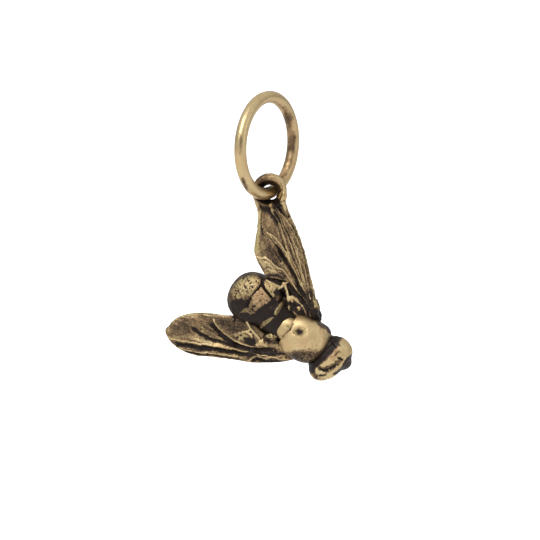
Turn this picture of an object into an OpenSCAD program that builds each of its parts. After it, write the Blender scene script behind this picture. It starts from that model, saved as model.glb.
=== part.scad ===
// Fly charm: a cast fly that hangs by a loop on its left wing tip from a closed jump ring.
// The ring's centre is the origin, its axis lies along X, and the fly's back faces -Y.
// The fly itself is drawn lying on its belly: head along +X, left side along +Y, back up,
// and is then stood up and hung so that the hole of its loop lies on the ring's wire.

/* [Jump ring] */
// Clear width inside the ring
ring_bore = 8.45; // [7.5:0.05:10]
// Thickness of the round wire
wire_thick = 1.25; // [1:0.05:1.35]

/* [Hanging loop] */
// Outside width of the loop
loop_wide = 3.5; // [3.3:0.05:4]
// Depth of the loop, front to back
loop_deep = 1.25; // [1.1:0.05:1.5]
// Narrow part of the hole, where the wire passes
loop_hole = 2; // [1.9:0.05:2.1]
// Wide mouth of the hole on the front
loop_mouth = 2.8; // [2.5:0.05:2.9]
// Rounding of the loop's outer edges
loop_round = 0.35; // [0.2:0.05:0.5]
// How far the hole lies below the middle of the loop
hole_drop = 0.2; // [0:0.05:0.25]

/* [Hang of the fly] */
// Head-down slope of the fly as it hangs
hang_angle = 33.5; // [25:0.5:45]
// Turn of the fly's back away from square to the ring's plane
turn_angle = 27; // [20:0.5:32]
// How far along the wire the loop sits from the ring's lowest point
loop_shift = 0.5; // [0:0.05:0.6]

/* [Thorax] */
// Length from the waist face to the neck
thorax_long = 4.3; // [3.8:0.1:5]
// Width of the thorax
thorax_wide = 4.7; // [4.2:0.1:5.2]
// Height of the thorax
thorax_high = 3.8; // [3.4:0.1:4.4]
// Length of the scutellum behind the thorax
scutellum_long = 1.25; // [1:0.05:1.5]
// Width of the scutellum
scutellum_wide = 2.35; // [2:0.05:2.8]
// Thickness of the scutellum
scutellum_high = 0.9; // [0.7:0.05:1]

/* [Head] */
// Length of the head, back to face
head_long = 2.65; // [2.3:0.05:3]
// Width across both eyes
head_wide = 4.8; // [4.6:0.05:5.6]
// Height of the head
head_high = 3.1; // [2.8:0.05:3.6]
// Bulge of each eye beyond the head
eye_bulge = 1; // [0.8:0.05:1.2]
// Sideways turn of the head
head_turn = 11; // [0:0.5:15]

/* [Abdomen] */
// Length from the thorax to the tail
abdomen_long = 7.2; // [6.6:0.1:8]
// Width of the abdomen
abdomen_wide = 5.35; // [4.8:0.05:5.8]
// Height of the abdomen
abdomen_high = 4; // [3.6:0.05:4.4]

/* [Wings] */
// Length of the left wing from its root to the middle of the loop
left_span = 13.3; // [12:0.1:14.5]
// Length of the right wing from its root to its tip
right_span = 12.3; // [11:0.1:13.5]
// Breadth that the wing outlines are shares of
wing_chord = 4.8; // [4.2:0.1:5.4]
// Thickness of a wing in its middle
wing_thick = 0.75; // [0.6:0.05:0.9]
// Height of the main fold over the wing
vein_high = 0.2; // [0.1:0.01:0.24]
// Sweep of the left wing from the tail line
left_sweep = 37; // [34:0.5:42]
// Sweep of the right wing from the tail line
right_sweep = 25; // [22:0.5:30]

/* [Legs] */
// Thickness of a leg at the thorax
leg_thick = 0.62; // [0.5:0.02:0.7]
// Thickness of a leg at its foot
foot_thick = 0.34; // [0.28:0.02:0.44]

/* [Hidden] */

// Depth by which cast neighbours run into each other where the wax was joined
fuse = 0.15;
// Smallest thickness where a wing, a leg or the tail closes
tip_thick = 0.08;

// Counts of points and rings, and the power of a plain oval
ring_sides = 96;
oval = 2;
loft_sides = 32;
wing_sides = 56;
wing_rows = 60;
leg_sides = 8;
corner_steps = 6;

// Ring and loop
ring_r = (ring_bore + wire_thick) / 2;
loop_r = loop_wide / 2;
land_share = 0.26;
back_mouth_share = 0.2;
back_flare_share = 0.12;
hole_land = loop_deep * land_share;
back_mouth = loop_deep * back_mouth_share;
hole_back = -hole_land / 2;
loop_back = hole_back - back_mouth;
loop_front = loop_back + loop_deep;

// Thorax: an ellipsoid cut flat at the waist and at the neck
waist_face_share = 0.7;
neck_face_share = 0.35;
waist_face_angle = asin(waist_face_share);
neck_face_angle = 180 - asin(neck_face_share);
thorax_half = thorax_long / (cos(waist_face_angle) - cos(neck_face_angle));
thorax_back_x = -thorax_half * cos(waist_face_angle);
thorax_neck_x = -thorax_half * cos(neck_face_angle);
thorax_square = 2.35;
thorax_rows = 18;

// Scutellum: height of its middle as a share of the thorax
scutellum_z_share = 0.17;
scutellum_z = thorax_high * scutellum_z_share;
scutellum_rows = 9;
scutellum_square = 2.3;

// Head: shares of its length, width and height from one eye seat to the other
head_rows = 16;
head_end_share = 0.8;
head_z_share = -0.04;
head_back_share = 0.16;
eye_rows = 8;
eye_square = 2.6;
eye_seat_y = head_wide / 2 - eye_bulge;

// Abdomen from the thorax backwards. Each row gives shares of its length behind the thorax,
// of its width to the left, of its width for the half width, and of its height up and down.
abdomen_z_share = -0.125;
waist_shares = [
    [0, 0, 0.31, 0.14, 0.25],
    [0.09, 0.01, 0.35, 0.14, 0.3],
    [0.17, 0.02, 0.38, 0.16, 0.33],
    [0.22, 0.025, 0.395, 0.23, 0.36],
    [0.26, 0.03, 0.405, 0.33, 0.38],
    [0.3, 0.035, 0.405, 0.33, 0.4],
    [0.34, 0.04, 0.39, 0.26, 0.4]];
abdomen_shares = [
    [0.34, 0.04, 0.39, 0.26, 0.4],
    [0.37, 0.05, 0.445, 0.38, 0.46],
    [0.42, 0.06, 0.475, 0.45, 0.485],
    [0.5, 0.07, 0.495, 0.485, 0.5],
    [0.58, 0.08, 0.5, 0.49, 0.5],
    [0.63, 0.085, 0.495, 0.475, 0.5],
    [0.655, 0.09, 0.475, 0.43, 0.475]];
tail_shares = [
    [0.655, 0.09, 0.475, 0.43, 0.475],
    [0.68, 0.09, 0.495, 0.475, 0.495]];
tail_rows = 14;
tail_drift_share = 0.02;

// Wings. Each row gives a share of the span, and the leading and trailing edges as shares
// of the chord, the leading edge being the negative one.
left_wing_shares = [
    [0, -0.13, 0.1],
    [0.1, -0.21, 0.06],
    [0.18, -0.265, 0.12],
    [0.24, -0.3, 0.2],
    [0.3, -0.315, 0.3],
    [0.33, -0.32, 0.39],
    [0.37, -0.33, 0.48],
    [0.41, -0.34, 0.57],
    [0.46, -0.35, 0.63],
    [0.53, -0.36, 0.66],
    [0.58, -0.37, 0.67],
    [0.66, -0.375, 0.57],
    [0.77, -0.345, 0.445],
    [0.88, -0.33, 0.33],
    [1, -0.41, 0.26]];
right_wing_shares = [
    [0, -0.06, 0.1],
    [0.09, -0.17, 0.1],
    [0.16, -0.24, 0.18],
    [0.22, -0.3, 0.27],
    [0.3, -0.335, 0.37],
    [0.37, -0.34, 0.46],
    [0.44, -0.34, 0.55],
    [0.5, -0.345, 0.57],
    [0.6, -0.355, 0.53],
    [0.68, -0.37, 0.54],
    [0.78, -0.38, 0.49],
    [0.88, -0.32, 0.38],
    [0.95, -0.22, 0.27],
    [0.985, -0.13, 0.15],
    [1, -0.02, 0.03]];
// Folds and veins of a wing. Each row gives a share of the main fold's height, below 0 for a
// furrow, its half width as a share of the chord, and its line as shares of the span and chord.
left_fold_shares = [
    [0.65, 0.055, [[0.92, -0.03], [0.82, -0.08], [0.72, -0.1], [0.5, -0.09], [0.19, -0.09]]],
    [0.65, 0.05, [[0.82, -0.12], [0.74, -0.17], [0.62, -0.21], [0.5, -0.22], [0.36, -0.18], [0.23, -0.15]]],
    [0.7, 0.05, [[0.79, -0.21], [0.69, -0.28], [0.56, -0.31], [0.45, -0.3], [0.31, -0.23], [0.19, -0.17]]],
    [0.7, 0.05, [[0.86, -0.22], [0.73, -0.32], [0.58, -0.37], [0.44, -0.37], [0.3, -0.32], [0.16, -0.27]]],
    [0.8, 0.07, [[0.73, 0.23], [0.67, 0.13], [0.57, 0.02], [0.5, -0.01], [0.37, -0.045], [0.24, -0.08]]],
    [-1.2, 0.095, [[0.69, 0.21], [0.6, 0.15], [0.54, 0.095], [0.41, 0.015], [0.29, -0.025], [0.18, -0.045]]],
    [1, 0.07, [[0.58, 0.64], [0.54, 0.46], [0.48, 0.33], [0.42, 0.19], [0.36, 0.135], [0.27, 0.07], [0.19, 0.01]]]];
right_fold_shares = [
    [1, 0.065, [[0.64, 0.43], [0.59, 0.3], [0.49, 0.15], [0.37, 0.04], [0.26, -0.01]]],
    [-1.2, 0.08, [[0.65, 0.37], [0.58, 0.22], [0.43, 0.02], [0.26, -0.045], [0.12, 0]]],
    [-1, 0.08, [[0.8, 0.18], [0.67, 0.045], [0.53, -0.005], [0.38, -0.06]]],
    [1, 0.075, [[0.96, -0.13], [0.81, -0.14], [0.63, -0.1], [0.45, -0.095], [0.29, -0.125], [0.1, -0.1]]],
    [-1.3, 0.075, [[0.92, -0.205], [0.81, -0.24], [0.62, -0.22], [0.44, -0.2], [0.29, -0.2]]],
    [0.5, 0.05, [[0.89, -0.28], [0.76, -0.33], [0.52, -0.26], [0.33, -0.29]]],
    [1.2, 0.065, [[0.31, -0.34], [0.27, -0.24], [0.23, -0.185], [0.16, -0.195], [0.1, -0.145]]]];
lower_fold_share = 0.35;
edge_gain = 2;
wing_soften = 0.025;
wing_fade_share = 0.12;
edge_round = 0.42;
even_share = 0.5;
tip_power = 8;
root_blend = 8;
camber_share = 0.03;
left_root_shares = [-0.155, 0.22];
right_root_shares = [-0.155, -0.02];
left_rise_share = -0.012;
right_rise_share = -0.05;

// Calypters: small lobes behind each wing root. Shares of the thorax's length, width and
// height for the middle, and of its length for the half length and half width.
calypter_thick_share = 0.12;
calypter_long_share = 0.17;
calypter_wide_share = 0.13;
calypter_rows = 8;
left_calypter_shares = [-0.5, 0.52, -0.02];
right_calypter_shares = [-0.72, -0.55, 0.04];
calypter_yaw = 28;

// Routes of the legs. The first rows are shares of the thorax's length, width and height,
// the later ones shares of the abdomen's, both counted from the thorax's middle.
left_hind_root_shares = [[-0.24, 0.3, -0.2], [-0.385, 0.5, -0.06], [-0.48, 0.59, 0.02]];
left_hind_foot_shares = [[-0.38, 0.54, 0.03], [-0.49, 0.51, 0.05], [-0.63, 0.62, 0.03],
    [-0.73, 0.53, 0.15], [-0.85, 0.5, 0.2], [-0.94, 0.49, 0.17]];
right_hind_root_shares = [[-0.26, -0.3, -0.2], [-0.42, -0.47, -0.04], [-0.61, -0.56, 0.07]];
right_hind_foot_shares = [[-0.56, -0.46, 0.13], [-0.72, -0.395, 0.19], [-0.83, -0.31, 0.25],
    [-0.9, -0.26, 0.27], [-0.97, -0.31, 0.23], [-1.02, -0.35, 0.19]];
left_mid_shares = [[0.02, 0.3, -0.28], [-0.02, 0.55, -0.18], [-0.12, 0.7, -0.05],
    [-0.25, 0.79, 0], [-0.4, 0.76, -0.09], [-0.62, 0.68, -0.22], [-0.8, 0.57, -0.34]];
right_mid_shares = [[0.06, -0.3, -0.28], [0.05, -0.48, -0.22], [-0.1, -0.6, -0.2],
    [-0.36, -0.78, -0.21], [-0.6, -0.94, -0.22], [-0.8, -1.07, -0.24], [-0.93, -1.1, -0.28]];
left_fore_shares = [[0.28, 0.16, -0.36], [0.4, 0.23, -0.54], [0.56, 0.25, -0.62],
    [0.76, 0.22, -0.64], [0.88, 0.18, -0.68], [0.76, 0.14, -0.78], [0.58, 0.12, -0.8]];
right_fore_shares = [[0.28, -0.16, -0.36], [0.4, -0.23, -0.54], [0.56, -0.25, -0.62],
    [0.76, -0.22, -0.64], [0.88, -0.18, -0.68], [0.76, -0.14, -0.78], [0.58, -0.12, -0.8]];
leg_steps = 3;
knee_swell = 0.22;

// Wing roots, on the flanks of the thorax
left_root = [thorax_long * left_root_shares[0], thorax_wide / 2 - fuse,
    thorax_high * left_root_shares[1]];
right_root = [thorax_long * right_root_shares[0], fuse - thorax_wide / 2,
    thorax_high * right_root_shares[1]];
left_along = [-cos(left_sweep), sin(left_sweep)];
left_across = [-sin(left_sweep), -cos(left_sweep)];
right_along = [-cos(right_sweep), -sin(right_sweep)];
right_across = [-sin(right_sweep), cos(right_sweep)];

// The hole of the loop, in the lying fly's frame, and the direction that hangs upwards
loop_side_share = -0.09;
loop_side = wing_chord * loop_side_share;
hole_place = [
    left_root[0] + left_span * left_along[0] + loop_side * left_across[0],
    left_root[1] + left_span * left_along[1] + loop_side * left_across[1],
    left_root[2] + left_span * left_rise_share];
hang_up = [-sin(hang_angle), cos(hang_angle), 0];
loop_place = hole_place + hole_drop * hang_up;

gold = [0.62, 0.5, 0.3];
dark_gold = [0.4, 0.32, 0.2];
pale_gold = [0.74, 0.62, 0.42];

// Signed power, for squarish ovals
function bow(v, p) = sign(v) * pow(abs(v), p);

// Lookup in one column of a table of shares, with its corners softened
function column(table, c) = [for (row = table) [row[0], row[c]]];
function soft(key, table, reach) =
    (lookup(key - reach, table) + 2 * lookup(key, table) + lookup(key + reach, table)) / 4;

// Oval section across the body at x: middle y and z, half width, height up and down
function section(x, y, z, half, up, down, square) = [for (k = [0:loft_sides - 1])
    let (a = 360 * k / loft_sides, s = sin(a))
    [x, y + half * bow(cos(a), 2 / square), z + (s > 0 ? up : down) * bow(s, 2 / square)]];

// A closed skin over a row of equal rings. Each end is closed by strips from side to side.
// A ring's points run clockwise as seen along the row, or the other way where it is reversed.
module skin(rings, reversed = false) {
    n = len(rings[0]);
    m = len(rings);
    last = (m - 1) * n;
    half = floor(n / 2);
    sides = [for (i = [0:m - 2]) for (k = [0:n - 1])
        let (a = i * n + k, b = i * n + (k + 1) % n)
        each [[a, b, b + n], [a, b + n, a + n]]];
    first_end = [for (k = [0:half - 1])
        let (a = k, b = k + 1, c = n - k - 1, d = (n - k) % n)
        each k == 0 ? [[a, c, b]] : b == c ? [[a, d, b]] : [[a, d, b], [b, d, c]]];
    last_end = [for (f = first_end) [last + f[0], last + f[2], last + f[1]]];
    outside = concat(sides, first_end, last_end);
    polyhedron(
        points = [for (r = rings) for (p = r) p],
        faces = reversed ? [for (f = outside) [f[0], f[2], f[1]]] : outside);
}

// Stands the lying fly up and hangs it on the ring's wire
module hung() {
    translate([0, loop_shift, -sqrt(ring_r * ring_r - loop_shift * loop_shift)])
        rotate([0, 0, turn_angle])
            rotate([90, 0, 0])
                rotate([0, 0, -hang_angle])
                    translate(-hole_place)
                        children();
}

// Points along a route, smoothed between its given places
function route(p) = [for (i = [0:len(p) - 2]) for (j = [0:leg_steps - 1])
    let (t = j / leg_steps,
        a = p[max(0, i - 1)],
        b = p[i],
        c = p[i + 1],
        d = p[min(len(p) - 1, i + 2)])
    b + t * (c - a) / 2 + t * t * (2 * a - 5 * b + 4 * c - d) / 2
        + t * t * t * (3 * b - a - 3 * c + d) / 2];

function unit(v) = v / norm(v);

// Points of a leg's route from shares of a size
function places(shares, size) = [for (s = shares) [s[0] * size[0], s[1] * size[1], s[2] * size[2]]];

module leg(given) {
    way = concat(route(given), [given[len(given) - 1]]);
    count = len(way);
    rings = [for (i = [0:count - 1])
        let (t = i / (count - 1),
            along = unit(way[min(i + 1, count - 1)] - way[max(i - 1, 0)]),
            side = unit(cross([0, 0, 1], along)),
            up = cross(along, side),
            swell = 1 + knee_swell * cos(360 * i / leg_steps),
            r = (i == count - 1 ? tip_thick : leg_thick + (foot_thick - leg_thick) * t) / 2 * swell)
        [for (k = [0:leg_sides - 1])
            let (a = 360 * k / leg_sides)
            way[i] + r * (cos(a) * side + sin(a) * up)]];
    skin(rings, true);
}

// Height of a wing's folds at a place in its plane, from rows of height, half width and line
function near_segment(q, a, b) =
    norm(q - a - (b - a) * max(0, min(1, (q - a) * (b - a) / ((b - a) * (b - a)))));
function near_line(q, line) = min([for (i = [1:len(line) - 1]) near_segment(q, line[i - 1], line[i])]);
function swell_at(d, reach) = d < reach ? (1 + cos(180 * d / reach)) / 2 : 0;
function fold_lift(q, folds) =
    [for (f = folds) f[0] * swell_at(near_line(q, f[2]), f[1])] * [for (f = folds) 1];

// One wing. The chord runs across the span; the far end is either straight or, for the wing
// that carries the loop, hollowed to the loop's round.
module wing(root, along, across, span, rise, shares, fold_shares, holds_loop) {
    lead = column(shares, 1);
    trail = column(shares, 2);
    folds = [for (f = fold_shares)
        [f[0] * vein_high, f[1] * wing_chord, [for (p = f[2]) [p[0] * span, p[1] * wing_chord]]]];
    rings = [for (i = [0:wing_rows])
        let (s = i / wing_rows,
            c0 = wing_chord * soft(s, lead, wing_soften),
            c1 = wing_chord * soft(s, trail, wing_soften))
        [for (k = [0:wing_sides - 1])
            let (a = 360 * k / wing_sides,
                u = even_share * min(a, 360 - a) / 180 + (1 - even_share) * (1 - cos(a)) / 2,
                c = c0 + (c1 - c0) * u,
                root_run = -c * across[1] / along[1],
                off = c - loop_side,
                round_in = holds_loop ? max(0, sqrt(max(0, loop_r * loop_r - off * off)) - fuse) : 0,
                run = s * span + pow(1 - s, root_blend) * root_run - pow(s, root_blend) * round_in,
                fade = min(1, s / wing_fade_share) * (holds_loop ? 1 : min(1, (1 - s) / wing_fade_share)),
                side = bow(sin(a), edge_round),
                share = min(1, abs(side) * edge_gain) * (side > 0 ? 1 : lower_fold_share),
                lift = fold_lift([run, c], folds) * fade * share,
                camber = wing_chord * camber_share * sin(180 * u) * fade,
                half = wing_thick / 2 * side
                    * (holds_loop ? 1 : max(tip_thick / wing_thick, 1 - pow(s, tip_power))))
            [root[0] + run * along[0] + c * across[0],
                root[1] + run * along[1] + c * across[1],
                root[2] + rise * run + lift + camber + half]]];
    skin(rings, !holds_loop);
}

// A flat lens-shaped lobe
module lobe(place, yaw) {
    long = thorax_long * calypter_long_share;
    wide = thorax_long * calypter_wide_share;
    thick = thorax_high * calypter_thick_share;
    translate(place)
        rotate([0, 0, yaw])
            skin([for (i = [0:calypter_rows])
                let (a = 180 * i / calypter_rows,
                    w = max(sin(a), tip_thick / wide))
                section(-long * cos(a), 0, 0, wide * w, thick * w, thick * w, oval)], true);
}

module jump_ring() {
    color(gold)
        rotate([0, 90, 0])
            rotate_extrude($fn = ring_sides)
                translate([ring_r, 0])
                    circle(d = wire_thick, $fn = loft_sides);
}

// Outline of half the loop's section, with rounded outer corners
loop_outline = concat(
    [[0, loop_back]],
    [for (i = [0:corner_steps])
        let (a = -90 + 90 * i / corner_steps)
        [loop_r - loop_round + loop_round * cos(a), loop_back + loop_round + loop_round * sin(a)]],
    [for (i = [0:corner_steps])
        let (a = 90 * i / corner_steps)
        [loop_r - loop_round + loop_round * cos(a), loop_front - loop_round + loop_round * sin(a)]],
    [[0, loop_front]]);

// The hole: a land in the middle and a flare to each face, run past both faces
hole_outline = [
    [0, loop_back - fuse],
    [loop_hole / 2 + loop_hole * back_flare_share, loop_back - fuse],
    [loop_hole / 2 + loop_hole * back_flare_share, loop_back],
    [loop_hole / 2, hole_back],
    [loop_hole / 2, hole_back + hole_land],
    [loop_mouth / 2, loop_front],
    [loop_mouth / 2, loop_front + fuse],
    [0, loop_front + fuse]];

module hanging_loop() {
    color(gold)
        hung()
            difference() {
                translate(loop_place)
                    rotate_extrude($fn = ring_sides)
                        polygon(loop_outline);
                translate(hole_place)
                    rotate_extrude($fn = ring_sides)
                        polygon(hole_outline);
            }
}

module left_wing() {
    color(dark_gold)
        hung()
            wing(left_root, left_along, left_across, left_span, left_rise_share,
                left_wing_shares, left_fold_shares, true);
}

module right_wing() {
    color(dark_gold)
        hung()
            wing(right_root, right_along, right_across, right_span, right_rise_share,
                right_wing_shares, right_fold_shares, false);
}

module thorax() {
    color(pale_gold)
        hung()
            skin([for (i = [0:thorax_rows])
                let (a = waist_face_angle + (neck_face_angle - waist_face_angle) * i / thorax_rows,
                    w = sin(a))
                section(-thorax_half * cos(a), 0, 0, thorax_wide / 2 * w,
                    thorax_high / 2 * w, thorax_high / 2 * w, thorax_square)], true);
}

module scutellum() {
    color(pale_gold)
        hung()
            skin([for (i = [0:scutellum_rows])
                let (t = i / scutellum_rows,
                    w = max(sqrt(1 - t * t), tip_thick / scutellum_high))
                section(thorax_back_x + fuse - (scutellum_long + fuse) * t, 0, scutellum_z,
                    scutellum_wide / 2 * w, scutellum_high / 2 * w, scutellum_high / 2 * w,
                    scutellum_square)]);
}

// Turns the head about the neck
module turned_head() {
    translate([thorax_neck_x, 0, thorax_high * head_z_share])
        rotate([0, 0, -head_turn])
            children();
}

// Section of the head at a share of its height and length, flat at the back
function head_section(y, share) = [for (k = [0:loft_sides - 1])
    let (a = 90 + 360 * k / loft_sides,
        whole = (head_long + fuse) / (1 - head_back_share),
        x = whole / 2 * (1 + share * bow(cos(a), 2 / eye_square)),
        back = whole * head_back_share)
    [max(x, back) - back - fuse, y, head_high / 2 * share * bow(sin(a), 2 / thorax_square)]];

module head() {
    color(pale_gold)
        hung()
            turned_head()
                skin([for (i = [0:head_rows])
                    let (t = 1 - 2 * i / head_rows,
                        share = 1 - (1 - head_end_share) * t * t)
                    head_section(eye_seat_y * t, share)], true);
}

module eye(side) {
    turned_head()
        mirror([0, side < 0 ? 1 : 0, 0])
            skin([for (i = [0:eye_rows])
                let (t = 1 - i / eye_rows,
                    share = max(pow(1 - pow(t, eye_square), 1 / eye_square), tip_thick / head_high))
                head_section(eye_seat_y + eye_bulge * t, head_end_share * share)], true);
}

module left_eye() {
    color(gold)
        hung()
            eye(1);
}

module right_eye() {
    color(gold)
        hung()
            eye(-1);
}

// Sections of the abdomen from a table of shares, front to back
function abdomen_rings(shares, reach) = [for (row = shares)
    section(thorax_back_x + reach - abdomen_long * row[0],
        abdomen_wide * row[1],
        abdomen_high * abdomen_z_share,
        abdomen_wide * row[2],
        abdomen_high * row[3],
        abdomen_high * row[4],
        thorax_square)];

module waist() {
    color(dark_gold)
        hung()
            skin(concat(abdomen_rings([waist_shares[0]], fuse), abdomen_rings(waist_shares, 0)));
}

module abdomen() {
    color(gold)
        hung()
            skin(abdomen_rings(abdomen_shares, 0));
}

module tail() {
    start = tail_shares[1];
    dome = [for (i = [1:tail_rows])
        let (a = 90 * i / tail_rows,
            w = max(cos(a), tip_thick / abdomen_high))
        [start[0] + (1 - start[0]) * sin(a), start[1] + tail_drift_share * (cos(a) - 1),
            start[2] * w, start[3] * w, start[4] * w]];
    color(gold)
        hung()
            skin(abdomen_rings(concat(tail_shares, dome), 0));
}

thorax_size = [thorax_long, thorax_wide, thorax_high];
abdomen_size = [abdomen_long, abdomen_wide, abdomen_high];

module left_calypter() {
    color(gold)
        hung()
            lobe(places([left_calypter_shares], thorax_size)[0], -calypter_yaw);
}

module right_calypter() {
    color(gold)
        hung()
            lobe(places([right_calypter_shares], thorax_size)[0], calypter_yaw);
}

module left_hind_leg() {
    color(gold)
        hung()
            leg(concat(places(left_hind_root_shares, thorax_size),
                places(left_hind_foot_shares, abdomen_size)));
}

module right_hind_leg() {
    color(gold)
        hung()
            leg(concat(places(right_hind_root_shares, thorax_size),
                places(right_hind_foot_shares, abdomen_size)));
}

module left_mid_leg() {
    color(gold)
        hung()
            leg(places(left_mid_shares, thorax_size));
}

module right_mid_leg() {
    color(gold)
        hung()
            leg(places(right_mid_shares, thorax_size));
}

module left_fore_leg() {
    color(gold)
        hung()
            leg(places(left_fore_shares, thorax_size));
}

module right_fore_leg() {
    color(gold)
        hung()
            leg(places(right_fore_shares, thorax_size));
}

jump_ring();
hanging_loop();
left_wing();
right_wing();
thorax();
scutellum();
head();
left_eye();
right_eye();
waist();
abdomen();
tail();
left_calypter();
right_calypter();
left_hind_leg();
right_hind_leg();
left_mid_leg();
right_mid_leg();
left_fore_leg();
right_fore_leg();
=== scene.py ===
"""Fly charm: the looks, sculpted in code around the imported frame.

All sculpting is done in millimetres. The ring is shaped in the row's frame. The fly is shaped
lying on its belly, head along +X, left side along +Y and back up, and is then stood up and hung.
Places in marks, folds and hind legs, and in names that end in PX, are in the photograph's 540 by
540 pixels. They only serve to find the point of a surface that the camera sees there.
"""
import math
import bpy
import numpy as np
from mathutils import Matrix, Vector


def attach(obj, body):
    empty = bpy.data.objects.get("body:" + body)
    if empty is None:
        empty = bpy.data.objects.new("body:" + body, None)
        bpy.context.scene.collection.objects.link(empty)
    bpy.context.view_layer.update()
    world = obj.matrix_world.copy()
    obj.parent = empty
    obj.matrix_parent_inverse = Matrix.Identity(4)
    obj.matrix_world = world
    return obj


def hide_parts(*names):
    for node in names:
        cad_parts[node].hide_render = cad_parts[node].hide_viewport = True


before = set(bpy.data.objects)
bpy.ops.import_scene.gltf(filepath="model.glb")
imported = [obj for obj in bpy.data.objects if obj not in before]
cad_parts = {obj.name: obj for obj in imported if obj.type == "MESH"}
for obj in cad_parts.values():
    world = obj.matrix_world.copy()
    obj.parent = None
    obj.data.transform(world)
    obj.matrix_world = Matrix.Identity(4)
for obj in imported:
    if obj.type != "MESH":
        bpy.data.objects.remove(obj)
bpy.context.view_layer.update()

MM = 0.001

# Ring and loop, as in the part
RING_BORE = 8.45
WIRE = 1.25
RING_R = (RING_BORE + WIRE) / 2
LOOP_WIDE = 3.5
LOOP_DEEP = 1.25
LOOP_HOLE = 2.0
LOOP_MOUTH = 2.8
LOOP_LOW = -0.4125
HOLE_DROP = 0.2

# Hang of the fly, as in the part
HANG_ANGLE = 33.5
TURN_ANGLE = 27
LOOP_SHIFT = 0.5

# Body sizes, as in the part
THORAX = np.array([4.3, 4.7, 3.8])
HEAD = np.array([2.65, 4.8, 3.1])
ABDOMEN = np.array([7.2, 5.35, 4.0])
LEFT_SPAN = 13.3
WING_CHORD = 4.8
WING_THICK = 0.75
LEFT_SWEEP = 37
RIGHT_SWEEP = 25
FUSE = 0.15

# Wing roots as shares of the thorax, the loop's place as a share of the chord, and how wings rise
WING_BACK_SHARE = 0.155
LEFT_LIFT_SHARE = 0.22
RIGHT_LIFT_SHARE = -0.02
LOOP_SIDE_SHARE = -0.09
LEFT_RISE = -0.012
RIGHT_RISE = -0.05

# Camera: where it looks from, how far off, and how much it frames
AZIMUTH = 33
ELEVATION = 9
DISTANCE = 400
FRAME_WIDE = 54
FRAME_PX = 540
RING_CENTRE_PX = np.array([267, 145.3])
SENSOR = 36


def turn(axis, degrees):
    """Rotation matrix about X or Z."""
    c, s = math.cos(math.radians(degrees)), math.sin(math.radians(degrees))
    if axis == "X":
        return np.array([[1, 0, 0], [0, c, -s], [0, s, c]])
    return np.array([[c, -s, 0], [s, c, 0], [0, 0, 1]])


def heading(degrees, side):
    """Direction along a wing, for its sweep and its side."""
    return np.array([-math.cos(math.radians(degrees)), side * math.sin(math.radians(degrees)), 0])


def beside(way):
    """The level direction a quarter turn from another."""
    return np.array([-way[1], way[0], 0])


def way_from(azimuth, elevation):
    """Direction from the charm to a camera or lamp, in the row's frame."""
    az, el = math.radians(azimuth), math.radians(elevation)
    return np.array([math.cos(el) * math.sin(az), -math.cos(el) * math.cos(az), math.sin(el)])


LEFT_ALONG = heading(LEFT_SWEEP, 1)
RIGHT_ALONG = heading(RIGHT_SWEEP, -1)
LEFT_ROOT = np.array([-WING_BACK_SHARE * THORAX[0], THORAX[1] / 2 - FUSE, LEFT_LIFT_SHARE * THORAX[2]])
RIGHT_ROOT = np.array([-WING_BACK_SHARE * THORAX[0], FUSE - THORAX[1] / 2, RIGHT_LIFT_SHARE * THORAX[2]])
HOLE = LEFT_ROOT + LEFT_SPAN * LEFT_ALONG + LOOP_SIDE_SHARE * WING_CHORD * beside(LEFT_ALONG)
HOLE[2] = LEFT_ROOT[2] + LEFT_SPAN * LEFT_RISE
LOOP = HOLE + HOLE_DROP * turn("Z", HANG_ANGLE)[:, 1]
STAND = turn("Z", TURN_ANGLE) @ turn("X", 90) @ turn("Z", -HANG_ANGLE)
LINK = np.array([0, LOOP_SHIFT, -math.sqrt(RING_R ** 2 - LOOP_SHIFT ** 2)])


def to_row(points):
    """From the lying fly to the row's frame, both in mm."""
    return (points - HOLE) @ STAND.T + LINK


def to_fly(points):
    return (points - LINK) @ STAND + HOLE


# Camera directions and places in the row's frame, and the way to it from the lying fly
CAM_RIGHT = turn("Z", AZIMUTH)[:, 0]
CAM_BACK = way_from(AZIMUTH, ELEVATION)
CAM_UP = np.cross(CAM_BACK, CAM_RIGHT)
PX = FRAME_WIDE / FRAME_PX
OFF_CENTRE = (FRAME_PX / 2 - RING_CENTRE_PX) * PX
AIM = OFF_CENTRE[0] * CAM_RIGHT - OFF_CENTRE[1] * CAM_UP
EYE = AIM + DISTANCE * CAM_BACK
VIEW = CAM_BACK @ STAND


# Numbers over points

LATTICE = 32
SEED_SHIFT = 0.37
lattices = {}


def noise(points, size, seed=0):
    """Smooth random value from -1 to 1, with bumps about as wide as size."""
    if seed not in lattices:
        lattices[seed] = np.random.default_rng(seed).uniform(-1, 1, (LATTICE,) * 3)
    grid = lattices[seed]
    q = points / size + SEED_SHIFT * seed
    low = np.floor(q).astype(int)
    f = q - low
    f = f * f * (3 - 2 * f)
    total = 0
    for corner in range(8):
        offset = [corner & 1, corner >> 1 & 1, corner >> 2 & 1]
        weight = 1
        for k in range(3):
            weight = weight * (f[:, k] if offset[k] else 1 - f[:, k])
        cell = (low + offset) % LATTICE
        total = total + weight * grid[cell[:, 0], cell[:, 1], cell[:, 2]]
    return total


def rough(points, size, seed=0, octaves=3):
    """Noise with finer noise on it."""
    return sum(noise(points, size / 2 ** k, seed + k) / 2 ** k for k in range(octaves))


def layers(points, rows):
    """Sum of rough noises, each with its height, its size in mm, its seed and its octaves."""
    return sum(height * rough(points, size, seed, octaves) for height, size, seed, octaves in rows)


def step_up(low, high, value):
    """0 below low, 1 above high, smooth between. The other way round where low is above high."""
    t = np.clip((value - low) / (high - low), 0, 1)
    return t * t * (3 - 2 * t)


def grain_of(rows):
    """A function that gives the grain of a surface, as layers of noise."""
    def grain(p):
        return layers(p, rows)
    return grain


def bell(distance, width):
    return np.exp(-(distance / width) ** 2)


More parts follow.
